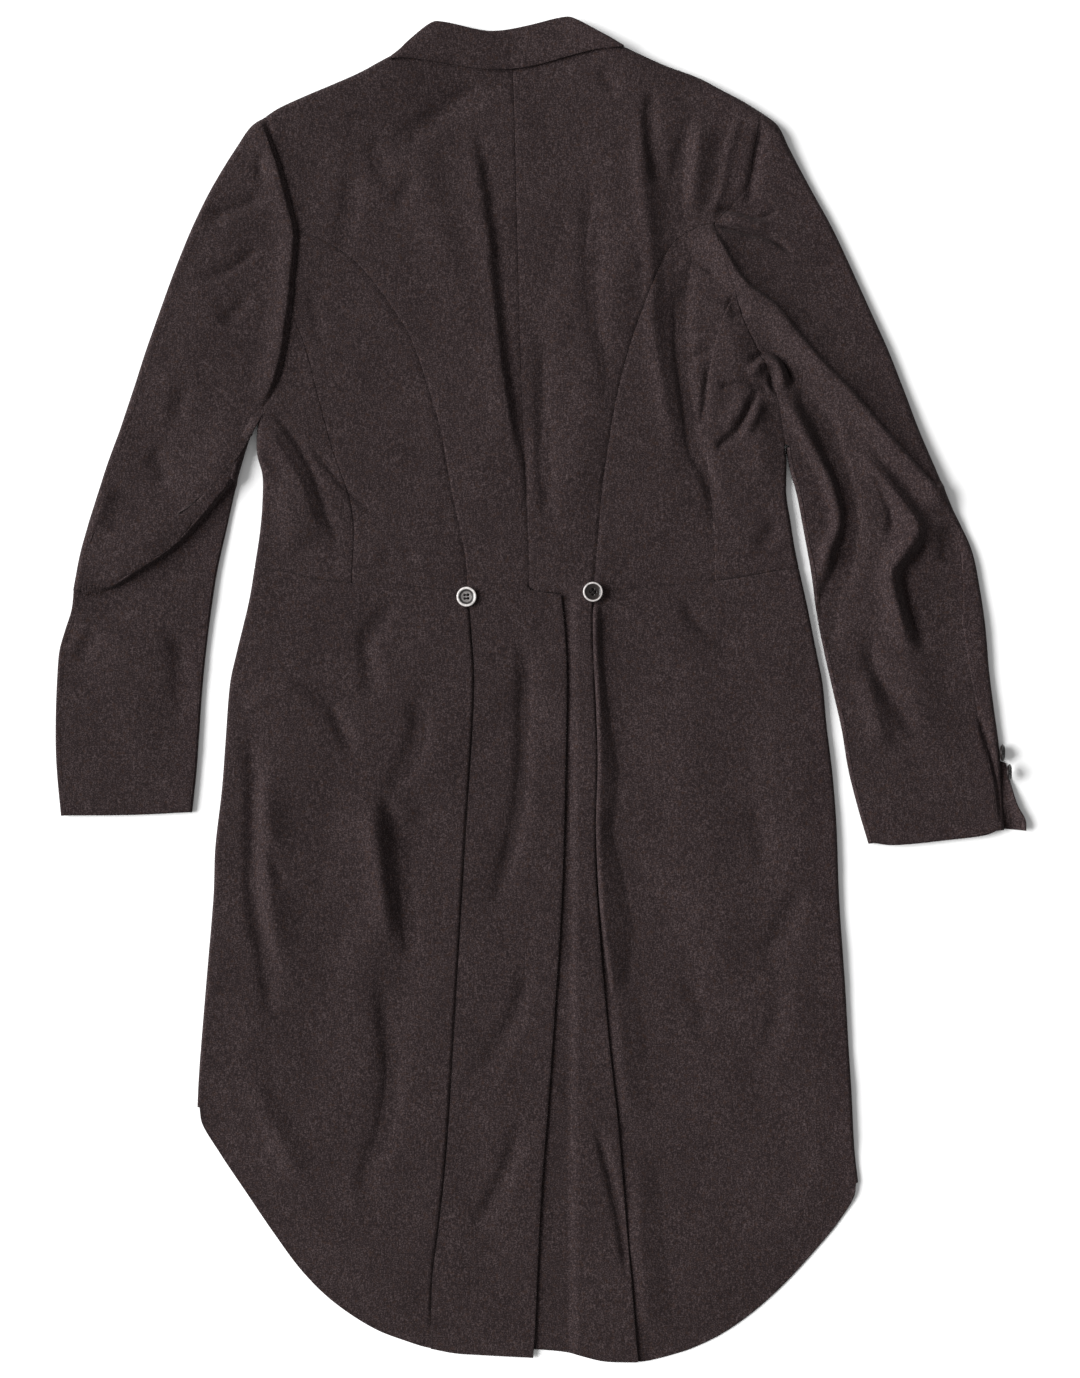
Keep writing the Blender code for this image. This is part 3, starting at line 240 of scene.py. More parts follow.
# Creases: each has a line drawn from the top down, a height (below 0 for a trough), its reach to the
# left and to the right of the line, and how much of its length fades at the two ends
creases = rowsOf(("name", "height", "left", "right", "fade", "line"), [
    # back
    ("pressed crease by the centre seam", -0.9, 2.6, 6.5, 0.2,
     [(-61.5, 508), (-52.6, 470), (-43.7, 412), (-37, 346), (-30.3, 284), (-22.8, 237), (-15.5, 200), (-13, 130)]),
    ("swell left of that crease", 1.1, 16, 4, 0.2,
     [(-66, 505), (-57, 470), (-48, 412), (-41, 346), (-34, 284), (-27, 237), (-19, 190)]),
    ("right back deep trough", -2.2, 4.5, 8, 0.16,
     [(132, 515), (123.2, 475), (118.8, 440), (117.9, 413), (122, 385), (123, 366), (121.9, 337), (122.3, 292),
      (128.5, 248), (134.3, 212), (145.5, 190), (151, 163), (154, 130)]),
    ("swell right of the deep trough", 1.8, 7, 13, 0.2, [(141, 505), (134, 460), (131, 420)]),
    ("right back upper trough", -1.9, 4, 8, 0.25, [(98.7, 536), (94.3, 511), (95.5, 480), (100, 457), (104, 436)]),
    ("right back bright ridge", 1.2, 6, 9, 0.2,
     [(80, 530), (85.4, 506), (88, 448), (96, 382), (99, 310), (110, 248), (118, 200)]),
    ("right back middle trough", -1.2, 8, 11, 0.3,
     [(40, 480), (42, 420), (45.3, 372), (47.6, 328), (56, 284), (54, 240)]),
    ("centre right trough", -1.3, 6, 10, 0.3, [(2, 330), (0.8, 300), (-1, 248), (1.5, 208), (4, 159), (5, 120)]),
    ("right neck dent", -1.0, 5, 7, 0.3, [(50, 553), (57, 540), (66, 525)]),
    ("left yoke dent", -1.5, 9, 9, 0.3, [(-46, 535), (-68, 524), (-90, 510), (-112, 494), (-136, 478)]),
    ("left yoke short dent", -1.3, 6, 8, 0.3, [(-153, 487), (-146, 470), (-139, 450)]),
    ("left blade dent", -1.3, 7, 9, 0.3, [(-168, 462), (-171, 430), (-176, 398), (-182, 380)]),
    ("left blade small dent", -0.9, 7, 8, 0.3, [(-112, 462), (-122, 440), (-132, 425)]),
    ("left armhole dent", -0.5, 5, 6, 0.3, [(-206, 360), (-200, 330), (-191, 297)]),
    ("left underarm crease", -1.1, 3.0, 6, 0.2,
     [(-244, 251), (-230, 234), (-216, 214), (-204, 190), (-192, 156), (-180, 122)]),
    ("left underarm swell", 0.7, 9, 4, 0.2, [(-246, 238), (-232, 216), (-216, 190), (-204, 160), (-194, 130)]),
    ("left waist thin crease", -0.9, 3, 6, 0.3, [(-210, 222), (-190, 196), (-165, 168), (-135, 146)]),
    ("left side swell", 1.0, 10, 14, 0.3, [(-232, 190), (-224, 150), (-218, 118)]),
    ("left waist dent", -0.8, 5, 7, 0.3, [(-150, 118), (-128, 115), (-104, 118)]),
    # right underarm
    ("right pocket edge", -1.7, 2.5, 4, 0.2, [(124, 386), (134, 379), (146, 373), (156, 366)]),
    ("right arc crease", -1.5, 2.6, 4.5, 0.25, [(128, 286), (134, 293), (145, 298), (156, 300)]),
    ("right lower arc swell", 1.7, 6, 6, 0.3, [(181, 262), (172, 244), (160, 230)]),
    ("right side soft dent", -1.1, 6, 8, 0.3, [(212, 150), (202, 138), (190, 122)]),
    # skirts and tails
    ("left skirt upper dent", -2.0, 6, 8, 0.25, [(-128, 82), (-142, 62), (-156, 43), (-153, 14), (-156, -14)]),
    ("left skirt slanting dent", -1.5, 5, 6, 0.3, [(-192, -8), (-182, -28), (-173, -46), (-164, -64)]),
    ("left skirt arched swell", 1.4, 7, 7, 0.3, [(-262, -22), (-250, -8), (-232, -2), (-210, -6), (-194, -16)]),
    ("left skirt right dent", -2.2, 7, 9, 0.25, [(-121, -6), (-109, -28), (-114, -56), (-126, -78), (-138, -94)]),
    ("left skirt main crease", -2.9, 4, 8, 0.16,
     [(-143, -92), (-138, -108), (-129, -135), (-123, -182), (-117.5, -240)]),
    ("left skirt main swell", 2.0, 12, 5, 0.25, [(-152, -98), (-145, -130), (-138, -180), (-131, -232)]),
    ("left skirt lower crease", -1.5, 6, 9, 0.25,
     [(-146, -244), (-141, -288), (-135, -336), (-141, -390), (-158, -431), (-156, -470)]),
    ("left skirt outer dent", -1.9, 6, 9, 0.2,
     [(-264, -30), (-256, -80), (-257, -125), (-256, -190), (-246, -240), (-240, -305)]),
    ("left skirt outer branch", -1.0, 5, 7, 0.3, [(-250, -122), (-240, -150), (-228, -182)]),
    ("left skirt outer swell", 1.3, 7, 14, 0.25, [(-250, -60), (-246, -120), (-243, -190), (-232, -250)]),
    ("left skirt low swell", 1.2, 10, 12, 0.3, [(-262, -330), (-248, -372), (-226, -412), (-206, -446)]),
    ("left tail upper dent", -1.4, 6, 9, 0.25,
     [(-36, 62), (-20, 40), (-16, 0), (-17, -40), (-19, -90), (-28, -140), (-42, -190), (-48, -216)]),
    ("left tail middle dent", -1.2, 6, 9, 0.3, [(-14, -236), (-17, -262), (-30, -300), (-52, -334), (-62, -350)]),
    ("left tail lower dent", -1.1, 6, 9, 0.3, [(-20, -376), (-28, -415), (-46, -455), (-70, -488)]),
    ("right tail streak", -1.7, 3.5, 5, 0.2, [(48, -385), (54, -410), (62, -440), (70, -480), (76, -524)]),
    ("right tail dent", -0.8, 5, 6, 0.3, [(14, -352), (26, -362), (40, -372)]),
    ("right pleat gap", -1.2, 1.1, 1.1, 0.1,
     [(45.8, 76), (45.6, 50), (47.4, 7.5), (50, -60), (48.6, -130), (50.4, -190)]),
    ("right hip crescent", -1.7, 4, 6, 0.25, [(123, 84), (131, 66), (142, 53), (157, 42), (178, 35)]),
    ("right skirt soft dent", -1.1, 8, 11, 0.3, [(232, -172), (220, -196), (208, -220), (190, -244)]),
    ("right skirt low soft dent", -0.9, 8, 10, 0.3, [(212, -262), (206, -300), (196, -326)]),
    ("right skirt middle dent", -0.9, 7, 9, 0.3, [(120, -252), (136, -272), (144, -290), (132, -314)]),
    ("right skirt upper dent", -0.8, 8, 12, 0.3, [(186, -90), (192, -126), (198, -166)]),
    # left sleeve
    ("left sleeve head dent", -1.7, 6, 8, 0.3, [(-300, 410), (-284, 420), (-266, 427), (-240, 436)]),
    ("left sleeve head upright", -0.9, 5, 6, 0.3, [(-248, 480), (-250, 462), (-246, 446)]),
    ("left sleeve thin crease", -1.2, 3, 6, 0.25, [(-310, 362), (-292, 364), (-277, 370), (-262, 380), (-246, 392)]),
    ("left sleeve lower dent", -0.9, 6, 8, 0.3, [(-258, 350), (-270, 336), (-286, 322)]),
    ("left sleeve middle dent", -0.9, 8, 10, 0.3, [(-314, 278), (-322, 250), (-330, 226)]),
    ("left sleeve elbow dent", -1.2, 7, 9, 0.3, [(-348, 214), (-338, 196), (-330, 180)]),
    ("left sleeve outer bump", 1.4, 8, 10, 0.3, [(-382, 182), (-392, 158), (-400, 136)]),
    ("left forearm soft dent", -1.0, 8, 12, 0.3, [(-330, 60), (-322, 20), (-320, -30)]),
    ("left forearm outer dent", -1.2, 6, 8, 0.3, [(-392, 52), (-404, 40), (-410, 22)]),
    ("left forearm curl", -1.0, 6, 8, 0.3, [(-418, 70), (-424, 48), (-427, 30)]),
    # right sleeve
    ("right inner arm ridge", 3.4, 6, 6, 0.15,
     [(212, 258), (225, 240), (243, 208), (258, 177), (264, 146), (253, 120), (250, 96)]),
    ("right elbow swell", 3.2, 9, 6, 0.2,
     [(276, 222), (305, 184), (324, 160), (334, 141), (322, 120), (310, 104), (314, 78), (322, 50), (332, 24)]),
    ("right elbow shadow", -2.6, 5, 8, 0.2, [(346, 142), (336, 124), (322, 106), (322, 82), (332, 52), (342, 28)]),
    ("right elbow side dent", -2.0, 8, 12, 0.3, [(356, 146), (360, 124), (356, 108)]),
    ("right inside crease", -1.6, 4, 6, 0.25, [(290, 200), (302, 176), (310, 150), (304, 128)]),
    ("right forearm long dent", -1.6, 7, 9, 0.3, [(296, 60), (292, 30), (300, 6), (307, -6), (320, -24), (338, -54)]),
    ("right forearm swell", 1.5, 9, 11, 0.3, [(284, 20), (294, -20), (306, -60)]),
    ("right cuff opening", -2.4, 2.6, 3.4, 0.2, [(386, -18), (394.6, -47), (400, -66), (405, -88), (408, -124)]),
    ("right sleeve head trough", -1.5, 4.0, 6.5, 0.22,
     [(196, 504), (194.5, 497), (192.5, 488), (190, 475), (187.5, 462), (185.5, 450), (183.5, 438), (182, 424)]),
    ("right armhole pale ridge", 0.9, 5, 4, 0.2,
     [(176, 512), (171, 495), (165, 470), (160.5, 445), (153, 424), (150, 408)]),
    ("beak lower crease", -2.9, 2.4, 3.4, 0.2,
     [(152, 415), (156, 411), (163, 408.5), (175, 406), (186, 403), (200, 400), (214, 392), (224, 384)]),
    ("beak upper crease", -2.2, 2.6, 3.4, 0.25,
     [(153, 417), (158, 423), (168, 425), (182, 421), (190, 418), (202, 420), (212, 427)]),
    ("beak swell", 1.3, 5, 5, 0.3, [(156, 416), (170, 415), (190, 411), (206, 409)]),
    ("right pocket", -2.6, 7, 8, 0.4, [(167, 352), (172, 341), (178, 324)]),
    ("loop outer crease", -3.4, 2.2, 3.0, 0.2,
     [(184, 283), (188, 290), (194, 295), (202, 297.5), (209, 295), (215, 289), (219, 279), (226, 268)]),
    ("loop swell", 4.2, 4.6, 4.6, 0.25,
     [(184, 275), (189, 283), (196, 289), (204, 289.5), (210, 284), (213, 274), (213, 262)]),
    ("loop inner crease", -3.2, 2.0, 2.6, 0.3, [(206, 282), (203, 276), (204, 269), (208, 262)]),
    ("loop lower crease", -3.6, 2.0, 2.6, 0.2,
     [(156, 267), (164, 268.5), (174, 270.5), (182, 270.5), (190, 267.5), (203, 266)]),
    ("below loop swell", 2.6, 5, 5, 0.3, [(196, 258), (190, 246), (184, 234), (176, 224)]),
    ("right lower arc crease", -3.6, 2.4, 3.4, 0.16,
     [(192, 266), (186, 254), (181, 243), (176, 234), (170, 226), (162, 219.5), (152, 213)]),
    ("right short upright", -1.6, 3.0, 4.5, 0.25, [(149, 292), (146.5, 276), (145, 262), (143.5, 248), (141, 230)]),
    ("right inner arm trough", -4.2, 8, 8, 0.14,
     [(222, 277), (236, 256), (250, 238), (258, 215), (266, 190), (273, 159), (273, 132), (265.6, 101), (256, 84),
      (254, 56), (262, 30)]),
    # left armhole
    ("left armhole shadow", -0.3, 2.0, 3.0, 0.06, armholeLeft),
    ("left sleeve head swell", 1.5, 11, 2.5, 0.1, [(x - 4, y) for x, y in armholeLeft]),
])

# Cloth folded over itself: raised on the left of the line, low on its right, with a sharp edge between.
# A ramp falls evenly on the right, and the others fall away more and more slowly.
foldedOver = rowsOf(("name", "lift", "drop", "left", "edge", "fade", "right", "line", "ramp"), [
    ("right sleeve fold", 9.0, 4.8, 13, (2.4, 1.4, 1.1), 0.08, 24,
     [(149, 418), (154, 404), (163, 389), (172, 372), (183, 357), (197, 347), (210, 337), (222, 321), (235, 305),
      (250, 288), (265, 273), (280, 257), (295, 239), (311, 220), (338, 190), (354, 172), (366, 156)]),
    ("right pleat edge", 6.2, 6.2, 1.5, (0.5, 0.5, 0.5), 0.07, (5, 6, 6.5, 8, 11, 16, 16.5, 12, 19, 22, 26, 18, 12),
     [(47.0, 84), (47.4, 60), (47.6, 30), (49.6, 0), (51, -40), (51.6, -75), (50.2, -115), (51.2, -150), (54, -190),
      (59, -235), (65, -275)], True),
    ("right skirt second fold", 2.8, 2.8, 9, (1, 1, 1), 0.25, (15, 22, 21, 20),
     [(66, -258), (70, -295), (74, -340), (81, -395)], True),
    ("right skirt low fold", 2.8, 2.8, 10, (1, 1, 1), 0.2, (14, 18, 20, 21, 20),
     [(86, -415), (89, -455), (90, -500), (94, -540), (100, -585)], True),
])

# Seams and edges that dip: depth, reach to each side, and how far the cloth stands back from the seam
dipLines = rowsOf(("line", "depth", "reach", "groove"), [
    (centreSeam, 0.35, 1.3, 0.10),
    (sideBodySeamLeft, 0.6, 1.6, 0.22),
    (sideBodySeamRight, 0.75, 1.7, 0.26),
    (sideSeamLeft, 0.22, 1.4, 0.05),
    (sideSeamRight, 0.12, 1.2, 0.03),
    (waistSideLeft, 0.6, 1.6, 0.22),
    (waistForeLeft, 0.65, 1.6, 0.24),
    (waistSideRight, 0.5, 1.6, 0.14),
    (waistForeRight, 0.8, 1.7, 0.3),
    (armholeLeft, 0.9, 2.2, 0.3),
    (armholeRight, 0.35, 1.5, 0.10),
    ([(370, 140), (376, 85), (379, 60), (382, 20), (387, -20)], 0.35, 1.2, 0.1),
    (ventEdge, 0.45, 1.1),
    (pleatRight, 0.45, 1.1),
    ([(-11, 91), (-9, 88.2), (2, 86.2), (17.5, 84.6), (20, 80)], 1.3, 1.2),
])


def along(points, count):  # a smooth curve through the points, in count equal lengths
    knots = np.asarray(points, float)
    chords = np.hypot(*np.diff(knots, axis=0).T)
    at = np.concatenate([[0.0], np.cumsum(np.sqrt(chords))])
    steps = np.diff(at)
    rates = np.diff(knots, axis=0) / steps[:, None]
    slopes = np.empty_like(knots)
    slopes[0] = rates[0]
    slopes[-1] = rates[-1]
    for i in range(1, len(knots) - 1):
        before, after = steps[i - 1], steps[i]
        slopes[i] = (rates[i - 1] * after + rates[i] * before) / (before + after)
    fine = []
    share = np.linspace(0, 1, 24, endpoint=False)[:, None]
    s2, s3 = share**2, share**3
    for i, step in enumerate(steps):
        fine.append((2 * s3 - 3 * s2 + 1) * knots[i] + (s3 - 2 * s2 + share) * step * slopes[i]
                    + (3 * s2 - 2 * s3) * knots[i + 1] + (s3 - s2) * step * slopes[i + 1])
    fine = np.vstack(fine + [knots[-1:]])
    lengths = np.concatenate([[0.0], np.cumsum(np.hypot(*np.diff(fine, axis=0).T))])
    wanted = np.linspace(0, lengths[-1], count + 1)
    return np.column_stack([np.interp(wanted, lengths, fine[:, 0]), np.interp(wanted, lengths, fine[:, 1])])


def joined(*runs):
    return np.vstack([np.asarray(runs[0], float)] + [np.asarray(run, float)[1:] for run in runs[1:]])


def straight(start, end, count):
    share = np.linspace(0, 1, count + 1)[:, None]
    return (1 - share) * np.asarray(start, float) + share * np.asarray(end, float)


def between(top, bottom, left, right):  # a grid inside four edges
    rows = np.linspace(0, 1, len(left))[:, None, None]
    columns = np.linspace(0, 1, len(top))[None, :, None]
    corners = ((1 - columns) * ((1 - rows) * top[0] + rows * bottom[0])
               + columns * ((1 - rows) * top[-1] + rows * bottom[-1]))
    return ((1 - rows) * top[None] + rows * bottom[None]
            + (1 - columns) * left[:, None] + columns * right[:, None] - corners)


def smooth(value):
    value = np.clip(value, 0, 1)
    return value * value * (3 - 2 * value)


def nearLine(points, line):  # distance to a line, where along it (0 to 1), and which side (+1 is right, going down)
    start = line[:-1]
    step = line[1:] - start
    length = np.hypot(*step.T)
    before = np.concatenate([[0.0], np.cumsum(length)[:-1]])
    offset = points[:, None, :] - start[None]
    share = np.clip((offset * step[None]).sum(2) / (length**2)[None], 0, 1)
    gap = np.hypot(*(offset - share[..., None] * step[None]).transpose(2, 0, 1))
    nearest = gap.argmin(1)
    row = np.arange(len(points))
    where = (before[nearest] + share[row, nearest] * length[nearest]) / length.sum()
    side = step[nearest, 0] * offset[row, nearest, 1] - step[nearest, 1] * offset[row, nearest, 0]
    return gap[row, nearest], where, np.where(side >= 0, 1.0, -1.0)


def farFrom(points, line):
    return nearLine(points, np.asarray(line, float))[:2]


def tapered(where, fade):  # rises from 0 at one end of a line and falls to 0 at the other
    return smooth(where / fade) * smooth((1 - where) / fade)


def atLeast(height, least):  # the greater of two heights, with a soft change between them
    return least + 0.5 * (height - least + np.hypot(height - least, 0.5))


def xAt(line, y):
    table = np.asarray(sorted(line, key=lambda point: point[1]), float)
    return np.interp(y, table[:, 1], table[:, 0])


def prepared(rows):  # dense lines, with the box that each one can reach
    out = []
    for row in rows:
        reach = 3 * max(np.max(row.get(key, 0)) for key in ("width", "left", "right", "reach"))
        dense = along(row["line"], 12 if "width" in row else 24)
        out.append((row, dense, dense.min(0) - reach, dense.max(0) + reach))
    return out


def reached(points, lines):  # each line with the points in its reach, their distance, place along it and side
    for row, line, low, high in lines:
        near = np.flatnonzero(((points > low) & (points < high)).all(1))
        if len(near):
            yield (row, line, near, *nearLine(points[near], line))


broadLines = prepared(broadFolds)
creaseLines = prepared(creases)
foldedLines = prepared(foldedOver)
seamLines = prepared(dipLines)


def floorHeight(points):  # middle of the layer that lies on the floor
    x, y = points.T
    width = np.interp(y, *np.asarray(lapelWidth, float).T)
    inside = smooth((y - 165) / 20)
    left = smooth((x - xAt(rollLeft, y) + width + 40) / 18) * (x < xAt(rollLeft, y) + 5)
    right = smooth((xAt(rollRight, y) + width + 40 - x) / 18) * (x > xAt(rollRight, y) - 5)
    height = half + lap * inside * np.maximum(left, right)
    for centre, thickness in buttonsBeneath:
        away = np.hypot(x - centre[0], y - centre[1])
        height = np.maximum(height, half + (thickness + 0.5) * (1 - smooth((away - 22) / 60)))
    return height


def broadHeight(points):
    height = np.zeros(len(points))
    for row, line, _, _ in broadLines:
        gap, where = farFrom(points, line)
        strength = row["height"] * (0.25 + 0.75 * tapered(where, 0.18))
        height += strength * np.exp(-((gap / row["width"]) ** 2)) * (gap < 90)
    return height


def spread(value, where):  # one value, or several that follow each other along a line
    value = np.atleast_1d(value)
    return np.interp(where, np.linspace(0, 1, len(value)), value)


# Slight waves of the whole cloth: direction, length and phase of each
unevenWaves = ((0.4, 71, 0.3), (1.3, 53, 1.9), (2.2, 88, 2.7), (2.9, 39, 4.4), (0.9, 31, 5.2), (1.9, 24, 0.8))


def creaseHeight(points):
    height = np.zeros(len(points))
    for row, line, near, gap, where, side in reached(points, foldedLines):
        away = gap * side
        edge = np.interp(where, [0, 0.35, 1], row["edge"])
        over = smooth((away + edge) / (2 * edge))
        raisedSide = row["lift"] * np.exp(-((away / row["left"]) ** 2))
        fall = np.abs(away) / spread(row["right"], where)
        lowSide = row["drop"] * (np.clip(1 - fall**1.15, 0, 1) if "ramp" in row else np.exp(-fall))
        height[near] += tapered(where, row["fade"]) * (raisedSide * (1 - over) + lowSide * over)
    for row, line, near, gap, where, side in reached(points, creaseLines):
        width = np.where(side > 0, row["right"], row["left"])
        strength = coat["creases"] * (0.75 + 0.075 * width) * row["height"]
        height[near] += strength * tapered(where, row["fade"]) * np.exp(-((gap / width) ** 2))
    for row, line, near, gap, where, side in reached(points, seamLines):
        pucker = 1 + 0.25 * np.sin(where * len(line) * 2.1 + line[0, 0])
        height[near] -= row["depth"] * pucker * np.exp(-((gap / row["reach"]) ** 2))
        height[near] -= 0.3 * row["depth"] * np.exp(-((gap / (row["reach"] * 3)) ** 2))
    x, y = points.T
    for angle, length, phase in unevenWaves:
        bend = np.sin(y / 47 + phase) + np.sin(x / 61)
        wave = np.sin((x * math.cos(angle) + y * math.sin(angle)) * 2 * math.pi / length + phase + bend)
        height += coat["unevenness"] * length / 88 * wave * 0.4
    return height


def shoulderHeight(points):  # the upper layer rises towards the shoulders
    shoulder = np.minimum(farFrom(points, shoulderLeft)[0], farFrom(points, shoulderRight)[0])
    return coat["bodyHeight"] + coat["shoulderRise"] * np.exp(-((shoulder / coat["shoulderReach"]) ** 2))


def bodyHeight(points):  # middle of the body's upper layer
    x, y = points.T
    height = shoulderHeight(points)
    openNeck = smooth(np.minimum(x - xAt(rollLeft, y) - 8, xAt(rollRight, y) - 8 - x) / 26)
    height -= coat["neckDrop"] * openNeck * smooth((y - 150) / 60)
    below = smooth((95 - y) / 60)
    height -= (coat["bodyHeight"] - coat["skirtHeight"]) * below
    pastFront = np.minimum(x - xAt(cutawayLeft, y), xAt(cutawayRight, y) - x)
    height -= (coat["skirtHeight"] - coat["tailHeight"]) * below * smooth((pastFront - 10) / 40)
    height += broadHeight(points) * (1 - 0.75 * (1 - smooth(np.abs(y - 90) / 34)))
    height = np.maximum(height, floorHeight(points) + 2.6 * (1 - below) + 1.0 * below)
    folded = height + creaseHeight(points)
    least = np.where(pastFront > 0, half + 0.1, floorHeight(points) + 1.95)
    least = np.maximum(least, height - 3.4)
    height = atLeast(folded, least)
    for hem in (hemSkirtLeft, hemSkirtRight):
        gap, _ = farFrom(points, along(hem, 16))
        atCorner = np.exp(-((np.hypot(x - hem[0][0], y - hem[0][1]) / 20) ** 2))
        lowest = half + 0.05 + 2.4 * atCorner
        height = lowest + (np.maximum(height, lowest) - lowest) * smooth((gap + 2) / coat["hemReach"])
    gap = np.minimum(farFrom(points, hemTailLeft)[0], farFrom(points, hemTailRight)[0])
    lowest = half + 0.05
    return lowest + (np.maximum(height, lowest) - lowest) * smooth((gap + 2) / coat["hemReach"])


def leftSkirtTop(points):  # drops just before the tail's edge, so that the edge stands over a shadow
    gap, where, side = nearLine(points, along(pleatLeft, 60))
    height = bodyHeight(points)
    under = smooth((gap * side + 2.3) / 1.5) * smooth((82 - points[:, 1]) / 12)
    lowest = np.interp(points[:, 1], [-80, -10], [half + 0.06, 2.9])
    return height - under * np.clip(height - lowest, 0, coat["pleatDrop"])


def leftBackTop(points):
    x, y = points.T
    inward = smooth((x + 60) / 35)
    return bodyHeight(points) + lap * smooth((97 - 5 * inward - y) / (18 - 9 * inward))


def rightBackTop(points):
    x, y = points.T
    return bodyHeight(points) + lap * smooth((95 - y) / 17) * smooth((x - 23) / 11)


# The left sleeve drops below its fold: everywhere, and more beside the fold within a reach
sleeveFold = {"drop": 2.6, "hollow": 3.8, "reach": 26, "edge": 3.0}


def sleeveTop(points):  # middle of the sleeve's upper layer
    x, y = points.T
    height = shoulderHeight(points)
    height += broadHeight(points) + creaseHeight(points)
    gap, _ = farFrom(points, along(foldLeft, 16))
    under = (x < -250) & (y < np.interp(x, *np.asarray(foldLeft, float).T) - 0.01)
    hollow = sleeveFold["hollow"] * np.exp(-((gap / sleeveFold["reach"]) ** 2))
    height -= under * smooth(gap / sleeveFold["edge"]) * (sleeveFold["drop"] + hollow)
    least = floorHeight(points) + 2.0
    return atLeast(height, least)


def raised(grid, height):
    return np.dstack([grid, height(grid.reshape(-1, 2)).reshape(grid.shape[:2])])


def outwardOf(chain, centre):
    step = np.gradient(np.asarray(chain, float), axis=0)
    normal = np.column_stack([step[:, 1], -step[:, 0]])
    normal /= np.hypot(*normal.T)[:, None]
    normal *= np.sign(((chain - np.asarray(centre, float)) * normal).sum(1))[:, None]
    for _ in range(4):
        normal[1:-1] = (normal[:-2] + 2 * normal[1:-1] + normal[2:]) / 4
    return normal / np.hypot(*normal.T)[:, None]


def turnedEdge(outline, outward, height, steps=8):  # a rounded edge from the upper layer down to the floor
    inner = outline - outward * 4.0
    radius = np.full(len(outline), 2.0)
    for _ in range(4):
        inner = outline - outward * (radius + half)[:, None]
        radius = np.maximum((height(inner) - floorHeight(inner)) / 2, 1.0)
        radius[1:-1] = (radius[:-2] + radius[1:-1] + radius[2:]) / 3
    low = floorHeight(inner)
    rise = (height(inner) - low) / 2
    arc = [np.column_stack([inner + outward * (radius * math.sin(turn))[:, None], low + rise * (1 + math.cos(turn))])
           for turn in np.linspace(0, math.pi, steps + 1)]
    return inner, np.stack(arc, axis=1)


def withLines(grid, axis, places):  # extra rows or columns at fractions of the spacing
    size = grid.shape[axis]
    at = np.unique(np.concatenate([np.arange(size), np.asarray(places, float)]))
    low = np.minimum(at.astype(int), size - 2)
    shape = [1] * grid.ndim
    shape[axis] = len(at)
    share = (at - low).reshape(shape)
    return np.take(grid, low, axis) * (1 - share) + np.take(grid, low + 1, axis) * share


def atEnds(size, fractions=(0.25, 0.55)):  # places of extra lines near the two ends
    return [*fractions] + [size - 1 - f for f in fractions]


def movedEnd(line, point, end=-1):  # the line with one end moved to a point, and the rest eased after it
    share = np.linspace(*((1, 0) if end == 0 else (0, 1)), len(line))[:, None] ** 2
    return line + (point - line[end]) * share


def woven(name, grids, finish):  # joins grids at their shared points
    number = {}
    points = []
    faces = []
    for grid in grids:
        rows, columns = grid.shape[:2]
        index = np.empty((rows, columns), int)
        keys = np.round(grid * 50).astype(int)
        for i in range(rows):
            for j in range(columns):
                key = tuple(keys[i, j])
                if key not in number:
                    number[key] = len(points)
                    points.append(grid[i, j])
                index[i, j] = number[key]
        faces.append(np.stack([index[:-1, :-1], index[1:, :-1], index[1:, 1:], index[:-1, 1:]], axis=-1).reshape(-1, 4))
    points = np.asarray(points, float)
    faces = np.vstack(faces)
    twice = [(faces[:, k] == faces[:, (k + 1) % 4]).astype(int) for k in range(4)]
    faces = faces[sum(twice) < 2]
    square = np.cross(points[faces[:, 2]] - points[faces[:, 0]], points[faces[:, 3]] - points[faces[:, 1]]) / 2
    height = points[faces, 2].mean(1)
    if (square[:, 2] * (height - 2.0)).sum() < 0:
        faces = faces[:, ::-1]
    return {"name": name, "points": points, "faces": faces, "finish": finish}


